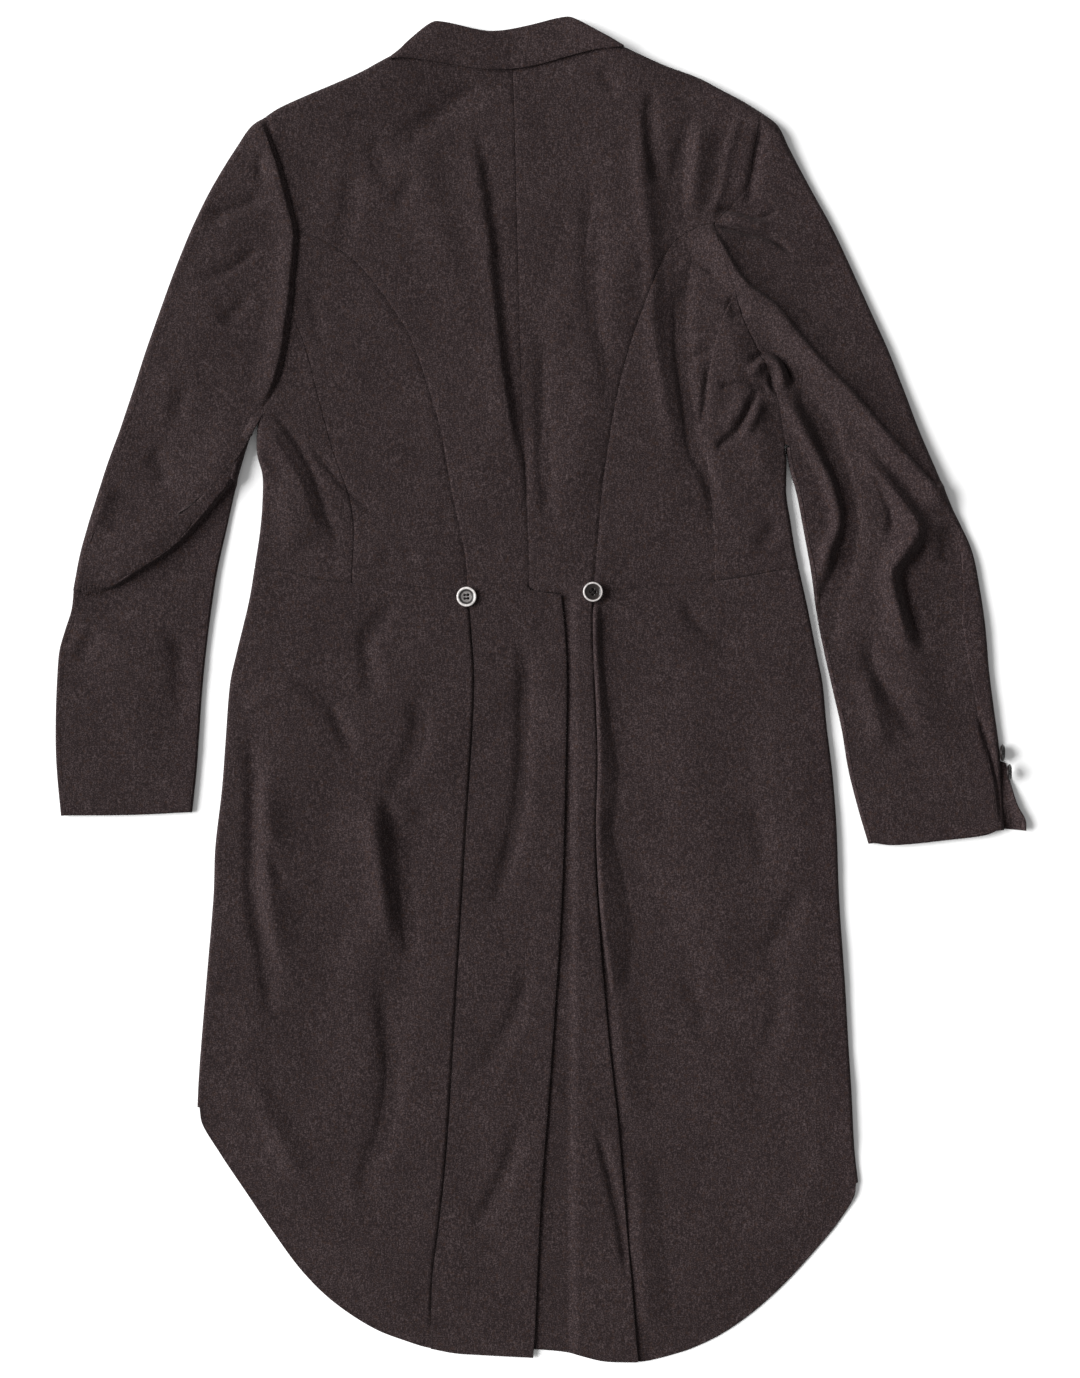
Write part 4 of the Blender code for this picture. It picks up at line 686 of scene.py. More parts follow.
def thicken(pieces):  # gives each cloth its wall; pieces that meet at a seam share one direction there
    shared, meets = {}, {}
    for piece in pieces:
        points, faces = piece["points"], piece["faces"]
        square = np.cross(points[faces[:, 2]] - points[faces[:, 0]], points[faces[:, 3]] - points[faces[:, 1]]) / 2
        total = np.zeros_like(points)
        for k in range(4):
            np.add.at(total, faces[:, k], square)
        piece["normals"] = total
        piece["area"] = np.linalg.norm(square, axis=1).sum()
        start = faces
        end = np.roll(faces, -1, axis=1)
        keep = start != end
        edges = np.column_stack([start[keep], end[keep]])
        middle = np.repeat(points[faces].mean(1), 4, axis=0).reshape(-1, 4, 3)[keep]
        code = edges[:, 0] * len(points) + edges[:, 1]
        back = edges[:, 1] * len(points) + edges[:, 0]
        rim = ~np.isin(code, back)
        piece["rim"] = edges[rim]
        piece["into"] = middle[rim]
        piece["keys"] = {}
        for point in np.unique(piece["rim"]):
            key = tuple(np.round(points[point] * 2).astype(int))
            piece["keys"][point] = key
            shared[key] = shared.get(key, 0) + total[point]
            meets[key] = meets.get(key, 0) + 1
    for piece in pieces:
        points, faces, rim = piece["points"], piece["faces"], piece["rim"]
        normals = piece["normals"]
        for point, key in piece["keys"].items():
            normals[point] = shared[key]
        normals = normals / np.linalg.norm(normals, axis=1)[:, None]
        line = points[rim[:, 1]] - points[rim[:, 0]]
        line /= np.linalg.norm(line, axis=1)[:, None]
        into = piece["into"] - points[rim[:, 0]]
        into -= line * (into * line).sum(1)[:, None]
        into /= np.linalg.norm(into, axis=1)[:, None]
        moves = np.zeros_like(points)
        np.add.at(moves, rim[:, 0], into)
        np.add.at(moves, rim[:, 1], into)
        moves -= normals * (moves * normals).sum(1)[:, None]
        length = np.maximum(np.linalg.norm(moves, axis=1), 1e-6)
        back = moves * (np.minimum(2.0 / length, 1.8) / length)[:, None]
        count = len(points)
        edge = np.unique(rim)
        ring = np.zeros(count, int)
        ring[edge] = 2 * count + np.arange(len(edge))
        groove = np.full(count, coat["edgeRound"])
        together = np.array([meets[piece["keys"][point]] > 1 for point in edge])
        groove[edge] = grooveWidth(points[edge, :2], together)
        inset = points + back * groove[:, None]
        both = np.vstack([inset + normals * half, inset - normals * half, (points + back * 0.02)[edge]])
        start, end = rim[:, 0], rim[:, 1]
        walls = np.vstack([faces, faces[:, ::-1] + count, np.column_stack([end, start, ring[start], ring[end]]),
                           np.column_stack([ring[end], ring[start], start + count, end + count])])
        piece["object"] = meshObject(piece["name"] + "_cloth", both, walls.tolist(), piece["finish"])


def grooveWidth(points, together):  # how far the cloth's faces stand back from a seam or a free edge
    width = np.where(together, 0.04, coat["edgeRound"])
    for row, line, near, gap, where, side in reached(points, seamLines):
        if "groove" in row:
            width[near[gap < 0.6]] = row["groove"]
    return width


def added(name, data):  # an object in the scene
    made = bpy.data.objects.new(name, data)
    bpy.context.scene.collection.objects.link(made)
    return made


def meshObject(name, points, faces, finish):
    mesh = bpy.data.meshes.new(name)
    shift = np.array([coat["middle"][0], coat["middle"][1], 0.0])
    kept = [[c for k, c in enumerate(face) if c != face[k - 1]] for face in faces]
    clean = [face for face in kept if len(face) > 2]
    mesh.from_pydata([tuple(p) for p in (np.asarray(points, float) - shift) * mm], [], clean)
    mesh.shade_smooth()
    mesh.materials.append(finish)
    return added(name, mesh)


# Finishes

def setInputs(node, inputs):  # a value, or another node's output, for each of a node's inputs
    for socket, value in inputs.items():
        if isinstance(value, bpy.types.NodeSocket):
            node.id_data.links.new(value, node.inputs[socket])
        else:
            node.inputs[socket].default_value = value


def addNode(tree, kind, inputs, output=0, **settings):
    node = tree.nodes.new("ShaderNode" + kind)
    for name, value in settings.items():
        setattr(node, name, value)
    setInputs(node, inputs)
    return node.outputs[output]


def addRamp(tree, value, stops):  # each stop has a place and a colour
    output = addNode(tree, "ValToRGB", {"Fac": value}, "Color")
    elements = output.node.color_ramp.elements
    for end in (0, -1):
        elements[end].position = stops[end][0]
        elements[end].color = (*stops[end][1], 1)
    for position, colour in stops[1:-1]:
        elements.new(position).color = (*colour, 1)
    return output


def newFinish(name, colour, roughness, specular=0.3):
    finish = bpy.data.materials.new(name)
    finish.use_nodes = True
    shader = finish.node_tree.nodes["Principled BSDF"]
    setInputs(shader, {"Base Color": (*colour, 1), "Roughness": roughness, "Specular IOR Level": specular})
    return finish, shader


flannelLook = {
    "dark": (0.0068, 0.0040, 0.0043),
    "middle": (0.0140, 0.0086, 0.0090),
    "light": (0.0560, 0.0405, 0.0410),
    "warm": (0.024, 0.0115, 0.0075),
    "grain": 860.0,  # fibres to the metre
    "cloud": 130.0,
    "patch": 14.0,
    "bump": 0.35,
    "stops": (0.37, 0.495, 0.645),  # where the mix is dark, middling and light
    "layers": (0.66, 0.22, 0.07, 0.05),  # shares of the fibres, twill, cloud and patches in the mix
}


def flannelFinish(name, tint=1.0):  # a milled wool cloth: mixed fibres, a faint twill and a soft nap
    look = flannelLook
    finish, shader = newFinish(name, [c * tint for c in look["dark"]], 0.93, 0.12)
    setInputs(shader, {"Sheen Weight": 0.05, "Sheen Roughness": 0.5, "Sheen Tint": (0.62, 0.56, 0.56, 1)})
    tree = finish.node_tree
    place = addNode(tree, "TexCoord", {}, "Object")

    def grain(scale, detail, stretch=(1, 1, 1), turn=0.0):
        mapping = addNode(tree, "Mapping", {"Vector": place, "Rotation": (0, 0, turn), "Scale": stretch})
        return addNode(tree, "TexNoise", {"Vector": mapping, "Scale": scale, "Detail": detail, "Roughness": 0.6}, "Fac")

    def tinted(colour):
        return tuple(c * tint for c in colour)

    fibres = grain(look["grain"], 3.0)
    twill = grain(look["grain"] * 0.75, 2.0, (1, 0.28, 1), math.radians(45))
    mix = None
    for layer, share in zip((fibres, twill, grain(look["cloud"], 3.0), grain(look["patch"], 2.0)), look["layers"]):
        part = addNode(tree, "Math", {0: layer, 1: share}, operation="MULTIPLY")
        mix = addNode(tree, "Math", {0: mix, 1: part}, operation="ADD") if mix else part
    colour = addRamp(tree, mix, list(zip(look["stops"], map(tinted, (look["dark"], look["middle"], look["light"])))))
    warm = addRamp(tree, grain(320.0, 2.0), [(0.55, (0, 0, 0)), (0.72, (0.55, 0.55, 0.55))])
    colour = addNode(tree, "Mix", {0: warm, 6: colour, 7: (*tinted(look["warm"]), 1)}, 2, data_type="RGBA")
    bump = addNode(tree, "Bump", {"Strength": look["bump"], "Distance": 0.0006, "Height": mix}, "Normal")
    setInputs(shader, {"Base Color": colour, "Normal": bump})
    return finish


flannel = flannelFinish("charcoalFlannel")
collarFlannel = flannelFinish("collarFlannel", 1.06)
print("finishes made")


hipButton = {"diameter": 18.0, "thickness": 3.0, "rim": 2.3, "hole": 2.3, "spread": 2.2, "sides": 56}
cuffButton = {"diameter": 15.0, "thickness": 2.8, "rim": 1.9, "hole": 1.5, "spread": 1.8, "sides": 44}
frontButton = {"diameter": 20.0, "thickness": 3.2, "rim": 2.4, "hole": 1.9, "spread": 2.3, "sides": 44}
frontButtonAt = (12.0, 116.0)
leftCuffButtonsAt = [(-404.0, -48.0), (-403.0, -66.0)]
buttonsBeneath = [(frontButtonAt, frontButton["thickness"])]
buttonsBeneath += [(at, cuffButton["thickness"]) for at in leftCuffButtonsAt]
hipButtonsAt = {"left": (-66.4, 81.5), "right": (45.4, 85.8)}
rightCuffButtonsAt = [(407.2, -56.7, 7.6), (412.8, -74.2, 9.8)]


# How finely each cloth is made: rows and columns for each one of the part's own
fineness = {
    "back": (8, 11), "sideBody": (12, 16), "forepart": (11, 14), "skirt": (9, 9), "sleeve": (11, 13),
    "hidden": 2, "arc": 8,
}


# Edges that pieces share: the line on the left and on the right, and how many lengths the part's own edge has
sharedEdges = {
    "armholeBack": (armholeBackLeft, armholeBackRight, 6), "armholeSide": (armholeSideLeft, armholeSideRight, 4),
    "armholeFore": (armholeForeLeft, armholeForeRight, 3), "sideBodySeam": (sideBodySeamLeft, sideBodySeamRight, 11),
    "sideSeam": (sideSeamLeft, sideSeamRight, 11), "waistSide": (waistSideLeft, waistSideRight, 4),
    "waistFore": (waistForeLeft, waistForeRight, 4), "shoulder": (shoulderLeft, shoulderRight, 6),
}


def makeSide(side):  # back, side body, forepart, skirt, lapel and sleeve of one side
    left = side == "left"

    def pick(one, other):
        return one if left else other

    def edges(m):
        return {name: along(pick(*lines), count * m) for name, (*lines, count) in sharedEdges.items()}

    def armLine(m):
        if left:
            return joined(along(sleeveOuterLeft, 13 * m), along(sleeveElbowLeft, 3 * m), along(sleeveLowerLeft, 11 * m))
        return joined(along(sleeveOuterRight, 6 * m), along(sleeveLowerRight, 21 * m))

    def shoulderEdge(m, height):
        shoulder = edges(m)["shoulder"]
        out = outwardOf(joined(shoulder[::-1], armLine(m)), pick((-200, 150), (160, 150)))
        return turnedEdge(shoulder, out[:len(shoulder)][::-1], height, fineness["arc"])

    def bodyEdge(m, height):
        line = joined(along(pick(outlineForeLeft, outlineForeRight), 11 * m),
                      along(pick(outlineSkirtLeft, outlineSkirtRight), 14 * m))
        return turnedEdge(line, outwardOf(line, (-17.0, 100.0)), height, fineness["arc"])

    def laidGrid(grid, height, rows=(), columns=()):
        grid = withLines(withLines(grid, 0, rows), 1, columns)
        return raised(grid, height)

    # the back, cut in one with its tail
    r, c = fineness["back"]
    line = edges(r)
    backTop = pick(leftBackTop, rightBackTop)
    shoulderInner, shoulderArc = shoulderEdge(c, backTop)
    armholeBack = movedEnd(line["armholeBack"], shoulderInner[0], 0)
    neck = np.asarray(pick(neckLeft, neckRight), float)
    neck[0] = shoulderInner[-1]
    neck = joined(*[straight(neck[k], neck[k + 1], c) for k in range(3)])
    centre = along(centreSeam, 17 * r)
    if left:
        tailOuter = joined(straight(line["sideBodySeam"][-1], (-65.6, 82), r), along([(-65.6, 82)] + pleatLeft, 15 * r))
        ventStart = (-10.0, 86.5)
        ventTop = joined(straight(centre[-1], ventStart, r), straight(ventStart, ventEdge[0], r))
        tailInner = joined(ventTop, along(ventEdge, 14 * r))
        hem = along(hemTailLeft, 9 * c)
    else:
        tailOuter = joined(straight(line["sideBodySeam"][-1], (45.2, 82), r), along([(45.2, 82)] + pleatRight, 15 * r))
        hidden = [(x - 44.0, y) for x, y in ventEdge if y < 8]
        hidden[-1] = (-48.0, -586.0)
        hidden = [(-11.8, 85), (-13.5, 78), (-19, 40)] + hidden
        tailInner = joined(straight(centre[-1], hidden[0], r), along(hidden, 15 * r))
        hem = along(hemTailRight + [(-48.0, -586.0)], 9 * c)
    outer = joined(armholeBack, line["sideBodySeam"], tailOuter)
    grid = between(joined(shoulderInner, neck), hem, outer, joined(centre, tailInner))
    rows = atEnds(grid.shape[0]) + [17 * r + f for f in (-0.12, -0.3, -0.55, 0.12, 0.3, 0.55)]
    rows += [17 * r + 0.25 * k for k in range(3, 9)]
    grid = laidGrid(grid, backTop, rows, atEnds(grid.shape[1]))
    top = withLines(shoulderArc, 0, (0.25, 0.55))
    grid[0, :len(top)] = top[:, 0]
    yield woven("back_" + side, [grid, top.transpose(1, 0, 2)[::-1]], flannel)

    # side body, between the two long seams
    r, c = fineness["sideBody"]
    line, across = edges(r), edges(c)
    panel = between(across["armholeSide"][::-1], across["waistSide"][::-1], line["sideSeam"], line["sideBodySeam"])
    panel = laidGrid(panel, bodyHeight, atEnds(panel.shape[0]), atEnds(panel.shape[1]))
    yield woven("side_body_" + side, [panel], flannel)

    # forepart: the strip beside the side seam, the fold at the side and the hidden front
    r, c = fineness["forepart"]
    line, across = edges(r), edges(c)
    bodyInner, bodyArc = bodyEdge(r, bodyHeight)
    low = fineness["hidden"]
    foreInner, foreArc = bodyInner[:11 * r + 1], bodyArc[:11 * r + 1]
    stripTop = joined(straight(foreInner[0], across["armholeFore"][-1], c), across["armholeFore"][::-1])
    waistFore = movedEnd(across["waistFore"], foreInner[-1])
    strip = raised(between(stripTop, waistFore[::-1], foreInner, line["sideSeam"]), bodyHeight)
    strip = np.concatenate([foreArc[:, :1], strip[:, 1:]], axis=1)
    shoulderInner = shoulderEdge(low, bodyHeight)[0]
    roll = along([tuple(shoulderInner[-1])] + pick(rollLeft, rollRight)[1:], 23 * r)
    frontArmhole = pick(armholeFrontLeft, armholeFrontRight)
    front = along([tuple(shoulderInner[0])] + frontArmhole[1:], 13 * r)
    frontSide = joined(front, straight(front[-1], foreInner[0], r))
    level = straight(foreInner[0], roll[12 * r], 6 * low)
    upper = between(shoulderInner, level, frontSide, along(roll[:12 * r + 1], 14 * r))
    lower = between(level, straight(foreInner[-1], roll[-1], 6 * low), foreInner, roll[12 * r:])
    grids = [strip[:, ::-1], foreArc, raised(lower, floorHeight), raised(upper, floorHeight)]
    yield woven("forepart_" + side, grids, flannel)

    # skirt: what shows, the fold at the side and the part hidden beneath
    r, c = fineness["skirt"]
    across = edges(c)
    skirtTop = pick(leftSkirtTop, bodyHeight)
    bodyInner, bodyArc = bodyEdge(r, bodyHeight)
    skirtInner, skirtArc = bodyInner[11 * r:], bodyArc[11 * r:]
    if left:
        pleat = [(-66, 86.5), (-64.8, 82), (-59, 72), (-50, 42)] + [(x + 14, y) for x, y in pleatLeft[3:]]
    else:
        pleat = [(45.5, 86.5), (44.4, 82), (40, 72), (35, 42)] + [(x - 9, y) for x, y in pleatRight[2:]]
    pleat[-1] = pick((-85, -586), (75, -595))
    pleat = along(pleat, 14 * r)
    hem = pick(hemSkirtLeft, hemSkirtRight)
    hem = along([tuple(skirtInner[-1])] + hem[1:] + [tuple(pleat[-1])], 8 * c)
    waist = joined(across["waistSide"], movedEnd(across["waistFore"], skirtInner[0]))[::-1]
    shown = between(waist, hem, skirtInner, pleat)
    rows = atEnds(shown.shape[0])
    beside = [shown.shape[1] - 1 - k - f for k in range(1, 19) for f in (0.33, 0.67)]
    shown = laidGrid(shown, skirtTop, rows, beside)
    skirtArc = withLines(skirtArc, 0, rows)
    shown[:, 0] = skirtArc[:, 0]
    cutaway = along(pick(cutawayLeft, cutawayRight), 14 * r)
    hidden = between(straight(skirtInner[0], cutaway[0], 6 * low), straight(skirtInner[-1], cutaway[-1], 6 * low),
                     skirtInner, cutaway)
    hidden = withLines(hidden, 0, rows)
    yield woven("skirt_" + side, [shown[:, ::-1], skirtArc, raised(hidden, floorHeight)], flannel)

    # lapel, folded back under the forepart
    table = pick(rollLeft, rollRight)
    sign = pick(-1, 1)
    rows = np.linspace(462, 218, 49)
    width = np.interp(rows, *np.asarray(lapelWidth, float).T)
    edge = np.column_stack([xAt(table, rows) + sign * width, rows])
    foldRows = np.linspace(lapelNeckY, 218, 49)
    fold = np.column_stack([xAt(table, foldRows) + sign * 0.6, foldRows])
    lapel = between(straight(edge[0], fold[0], 15), straight(edge[-1], fold[-1], 15), edge, fold)
    yield woven("lapel_" + side, [raised(lapel, lambda points: np.full(len(points), half))], flannel)

    # sleeve: the under sleeve shows, and the top sleeve turns round both its edges
    r, c = fineness["sleeve"]
    line = edges(r)
    arm = armLine(r)
    shoulderInner, shoulderArc = shoulderEdge(r, sleeveTop)
    armOut = outwardOf(joined(line["shoulder"][::-1], arm), pick((-200, 150), (160, 150)))[6 * r:]
    wrist = along(pick(sleeveInnerLeft, sleeveInnerRight), 13 * r)
    wristOut = outwardOf(wrist, pick((-360, 0), (320, 0)))
    armInner, armArc = turnedEdge(arm, armOut, sleeveTop, fineness["arc"])
    armInner[0] = shoulderInner[0]
    armArc[0] = shoulderArc[0]
    wristInner, wristArc = turnedEdge(wrist, wristOut, sleeveTop, fineness["arc"])
    seamIn = np.interp(arm[:, 1], [-130, -40, 60, 130, 500], pick([3] * 5, [3, 10, 17, 6, 3]))
    armSeam = armInner - armOut * (seamIn * np.clip(np.arange(len(arm)) / (3 * r), 0, 1))[:, None]
    armholeBack = movedEnd(line["armholeBack"], shoulderInner[0], 0)
    armhole = joined(armholeBack, line["armholeSide"], line["armholeFore"],
                     straight(line["armholeFore"][-1], wristInner[0], r))
    inner = joined(armhole, wristInner)
    crossRow = pick(15 * r, 6 * r)
    cross = pick(foldLeft, crossRight)
    cross = along([tuple(armSeam[crossRow])] + cross[1:-1] + [tuple(inner[crossRow])], 8 * c)
    cuff = pick(cuffLeft, cuffRight)
    cuff = along([tuple(armSeam[-1])] + cuff[1:-1] + [tuple(inner[-1])], 8 * c)
    first = straight(armSeam[0], inner[0], 8 * c)
    upper = between(first, cross, armSeam[:crossRow + 1], inner[:crossRow + 1])
    lower = between(cross, cuff, armSeam[crossRow:], inner[crossRow:])
    ends = atEnds(upper.shape[1])
    near = [0.12, 0.25, 0.4, 0.55, 0.75] if left else []
    upper = laidGrid(upper, sleeveTop, [upper.shape[0] - 1 - f for f in near], ends)
    lower = laidGrid(lower, sleeveTop, near, ends)
    yield woven("under_sleeve_" + side, [upper, lower], flannel)

    strip = between(straight(armSeam[0], armInner[0], 6), straight(armSeam[-1], armInner[-1], 6), armSeam, armInner)
    strip = raised(strip, sleeveTop)
    strip[:, -1] = armArc[:, 0]
    front = along([tuple(shoulderInner[0])] + frontArmhole[1:], 13 * r)
    floorInner = joined(front, straight(front[-1], wristInner[0], r), wristInner)
    under = between(straight(armInner[0], floorInner[0], 5 * low), straight(armInner[-1], floorInner[-1], 5 * low),
                    armInner, floorInner)
    yield woven("top_sleeve_" + side, [strip, armArc, raised(under, floorHeight), wristArc[:, ::-1]], flannel)


collar = {
    "fineness": 7,
    "swell": 0.9,  # how much the fall stands away between its edge and its roll
    "ends": ((-134, 557.6), (68, 570.5)),  # where the stand begins and ends
}


def makeCollar():  # the fall of the collar, rolled over the neck, with its stand beneath
    m = collar["fineness"]
    roll = along(collarRoll, 18 * m)
    edge = along(collarEdge, 18 * m)
    start, end = collar["ends"]
    neck = joined(
        straight(start, neckLeft[1], 6 * m), straight(neckLeft[1], neckLeft[2], 3 * m),
        straight(neckLeft[2], neckLeft[3], 2 * m), straight(neckRight[3], neckRight[2], 2 * m),
        straight(neckRight[2], neckRight[1], 2 * m), straight(neckRight[1], end, 3 * m))
    outward = outwardOf(roll, (-30, 400))
    radius = lap / 2
    inner = roll - outward * (radius + half)
    standHeight = bodyHeight(inner)
    arc = []
    for turn in np.linspace(0, math.pi, 11):
        above = standHeight + radius * (1 + math.cos(turn))
        arc.append(np.column_stack([inner + outward * radius * math.sin(turn), above]))
    arc = np.stack(arc, axis=1)
    columns = np.linspace(0, 1, 17)[None, :, None]
    fall = withLines(edge[:, None] * (1 - columns) + inner[:, None] * columns, 1, (0.3, 0.6))
    reach = np.minimum(np.arange(fall.shape[1]) / (fall.shape[1] - 1), 1)[None, :]
    swell = collar["swell"] * np.sin(np.pi * reach) ** 0.8
    fall = raised(fall, lambda points: bodyHeight(points) + lap)
    row = np.arange(len(fall))
    fall[:, :, 2] += swell * smooth(np.minimum(row, len(fall) - 1 - row) / 14.0)[:, None]
    fall[:, -1] = arc[:, 0]
    stand = raised(inner[:, None] * (1 - columns) + neck[:, None] * columns, bodyHeight)
    stand[:, 0] = arc[:, -1]
    return woven("collar", [fall, arc, stand], collarFlannel)


underlap = {"rise": 6.6, "flat": 0.38}  # lift of its outer edge, and the share of its width that lies flat


def makeUnderlap():  # the part of the right cuff that spreads out below its open vent
    inner = along(underlapInner, 40)
    outer = along(underlapOuter, 40)
    columns = np.linspace(0, 1, 15)[None, :, None]
    grid = inner[:, None] * (1 - columns) + outer[:, None] * columns
    down, across = np.linspace(0, 1, 41)[:, None], np.linspace(0, 1, 15)[None]
    share = np.clip((across - underlap["flat"]) / (1 - underlap["flat"]), 0, 1)
    rise = smooth(down * 1.6) * underlap["rise"] * share ** 1.4
    return woven("cuff_underlap_right", [np.dstack([grid, half + 0.1 + rise])], flannel)


pieces = list(makeSide("left")) + list(makeSide("right"))
pieces += [makeCollar(), makeUnderlap()]
thicken(pieces)
print("cloth made:", len(pieces), "pieces,", sum(len(p["object"].data.polygons) for p in pieces), "faces")


# Buttons

def moulded(name, points, faces, finish, holes):  # a solid with its holes cut out
    made = meshObject(name, points, faces, finish)
    if not holes:
        return made
    for cutter in holes:
        cut = made.modifiers.new("hole", "BOOLEAN")
        cut.operation = "DIFFERENCE"
        cut.solver = "EXACT"
        cut.object = cutter
    bpy.context.view_layer.update()
    ready = made.evaluated_get(bpy.context.evaluated_depsgraph_get())
    mesh = bpy.data.meshes.new_from_object(ready)
    made.modifiers.clear()
    made.data = mesh
    mesh.materials.clear()
    mesh.materials.append(finish)
    mesh.shade_smooth()
    for cutter in holes:
        bpy.data.objects.remove(cutter, do_unlink=True)
    return made


sewing = {"thread": 0.42, "apart": 0.22, "stitchPaintedShadow": 0.32}  # radius of a strand, half the space between two, and the radius of the vent's stitches, whose dark thread is painted shadow


def turnedProfile(profile, sides):  # a solid of revolution about z
    turns = np.linspace(0, 2 * np.pi, sides, endpoint=False)
    points = [(0.0, 0.0, profile[0][1])]
    for across, height in profile[1:-1]:
        points += [(across * math.cos(t), across * math.sin(t), height) for t in turns]
    points.append((0.0, 0.0, profile[-1][1]))
    rings = len(profile) - 2
    faces = []
    for k in range(sides):
        after = (k + 1) % sides
        faces.append([0, 1 + after, 1 + k])
        for ring in range(rings - 1):
            low = 1 + ring * sides
            faces.append([low + k, low + after, low + sides + after, low + sides + k])
        last = 1 + (rings - 1) * sides
        faces.append([last + k, last + after, len(points) - 1])
    return np.asarray(points, float), faces


def makeButton(name, size, centre, finish, axis=(0, 0, 1), base=0.0, turn=0.3, pierced=True):
    radius, thick, rim = size["diameter"] / 2, size["thickness"], size["rim"]
    outer = [(radius * across, thick * up) for across, up in (
        (0, 0), (0.5, 0), (0.72, 0.06), (0.88, 0.25), (0.97, 0.46), (1, 0.62), (0.985, 0.8), (0.95, 0.93))]
    lip = [(radius - rim * inward, thick * up) for inward, up in (
        (0.42, 1), (0.75, 0.97), (1, 0.86), (1.15, 0.74), (1.5, 0.68))]
    dish = [(radius * across, thick * up) for across, up in ((0.42, 0.6), (0.15, 0.57), (0, 0.565))]
    profile = outer + lip + dish
    points, faces = turnedProfile(profile, size["sides"])
    zAxis = np.asarray(axis, float) / np.linalg.norm(axis)
    xAxis = np.cross((0.0, 1.0, 0.0), zAxis)
    xAxis /= np.linalg.norm(xAxis)
    place = np.column_stack([xAxis, np.cross(zAxis, xAxis), zAxis])
    origin = np.array([centre[0], centre[1], base], float)
    cutters = []
    turns = [turn + math.pi / 4 + k * math.pi / 2 for k in range(4)]
    middles = [np.array([size["spread"] * math.cos(t), size["spread"] * math.sin(t), 0.0]) for t in turns]
    if pierced:
        for middle in middles:
            ring = [(middle[0] + size["hole"] / 2 * math.cos(s * math.pi / 8),
                     middle[1] + size["hole"] / 2 * math.sin(s * math.pi / 8), end)
                    for end in (-thick, 2 * thick) for s in range(16)]
            walls = [[s, (s + 1) % 16, 16 + (s + 1) % 16, 16 + s] for s in range(16)]
            walls += [list(range(15, -1, -1)), list(range(16, 32))]
            cutters.append(meshObject("hole", np.asarray(ring) @ place.T + origin, walls, finish))
    made = moulded(name + "_turned", points @ place.T + origin, faces, finish, cutters)
    if not pierced:
        return made, None
    strands = []
    for a, b in ((0, 1), (2, 3)):
        for shift in (-sewing["apart"], sewing["apart"]):
            side = np.array([-(middles[b] - middles[a])[1], (middles[b] - middles[a])[0], 0])
            side /= np.linalg.norm(side)
            route = []
            for s in np.linspace(0, 1, 15):
                at = middles[a] * (1 - s) + middles[b] * s + side * shift
                route.append(at + [0, 0, thick * 0.3 + (thick * 0.42 + 0.1) * math.sin(math.pi * s) ** 0.5])
            strands.append(np.asarray(route) @ place.T + origin)
    return made, threadObject(name + "_thread", strands, sewing["thread"])


def threadObject(name, routes, radius):  # round strands along routes of points
    points, faces = [], []
    for route in routes:
        step = np.gradient(route, axis=0)
        step /= np.linalg.norm(step, axis=1)[:, None]
        aside = np.cross(step, (0.3, 0.5, 0.81))
        aside /= np.linalg.norm(aside, axis=1)[:, None]
        up = np.cross(step, aside)
        start = len(points)
        for k in range(len(route)):
            for t in np.linspace(0, 2 * np.pi, 8, endpoint=False):
                points.append(route[k] + radius * (aside[k] * math.cos(t) + up[k] * math.sin(t)))
        for k in range(len(route) - 1):
            for s in range(8):
                a = start + 8 * k + s
                b = start + 8 * k + (s + 1) % 8
                faces.append([a, b, b + 8, a + 8])
        faces.append([start + s for s in range(7, -1, -1)])
        faces.append([start + 8 * (len(route) - 1) + s for s in range(8)])
    return meshObject(name, points, faces, thread)


thread = newFinish("sewingThread", (0.006, 0.005, 0.005), 0.8, 0.1)[0]


def hornFinish(name, centre, rings, gloss):  # polished horn coloured in rings about a centre: each has a radius in mm and a colour; on the hip buttons the pale and bright rings are painted reflection and painted highlight
    finish, shader = newFinish(name, rings[0][1], 0.3, 0.2 + gloss)
    tree = finish.node_tree
    place = addNode(tree, "TexCoord", {}, "Object")
    middle = [(c - m) * mm for c, m in zip(centre, coat["middle"])]
    flat = addNode(tree, "VectorMath", {0: place, 1: (1, 1, 0)}, operation="MULTIPLY")
    away = addNode(tree, "VectorMath", {0: flat, 1: (*middle, 0)}, "Value", operation="DISTANCE")
    scaled = addNode(tree, "Math", {0: away, 1: 0.1 / mm}, operation="MULTIPLY")
    ring = addRamp(tree, scaled, [(radius / 10, colour) for radius, colour in rings])
    streak = addNode(tree, "TexNoise", {"Vector": place, "Scale": 420.0, "Detail": 3.0, "Distortion": 0.8}, "Fac")
    shade = addNode(tree, "MapRange", {
        "Value": streak, "From Min": 0.3, "From Max": 0.7, "To Min": 0.62, "To Max": 1.25}, "Result")
    colour = addNode(tree, "VectorMath", {0: ring, 1: shade}, operation="MULTIPLY")
    setInputs(shader, {"Coat Weight": gloss, "Coat Roughness": 0.12, "Base Color": colour})
    return finish


# The first colour is the horn's own dark; the second is a painted highlight for a button's rim
darkHorn, rimHighlight = (0.014, 0.011, 0.010), (0.46, 0.43, 0.42)
# Left hip button: dark horn whose pale dish and bright rim are painted reflection and painted highlight; the dark ring
# between them and the outer edge are the horn's own colour
leftHornPaintedReflection = hornFinish("horn_painted_reflection", hipButtonsAt["left"], [
    (0.0, (0.15, 0.14, 0.14)), (4.6, (0.16, 0.15, 0.145)), (5.1, (0.03, 0.027, 0.027)), (6.4, (0.012, 0.010, 0.010)),
    (6.9, (0.40, 0.38, 0.37)), (8.1, (0.56, 0.53, 0.52)), (8.7, (0.25, 0.23, 0.22)), (9.0, (0.04, 0.035, 0.03))], 0.12)
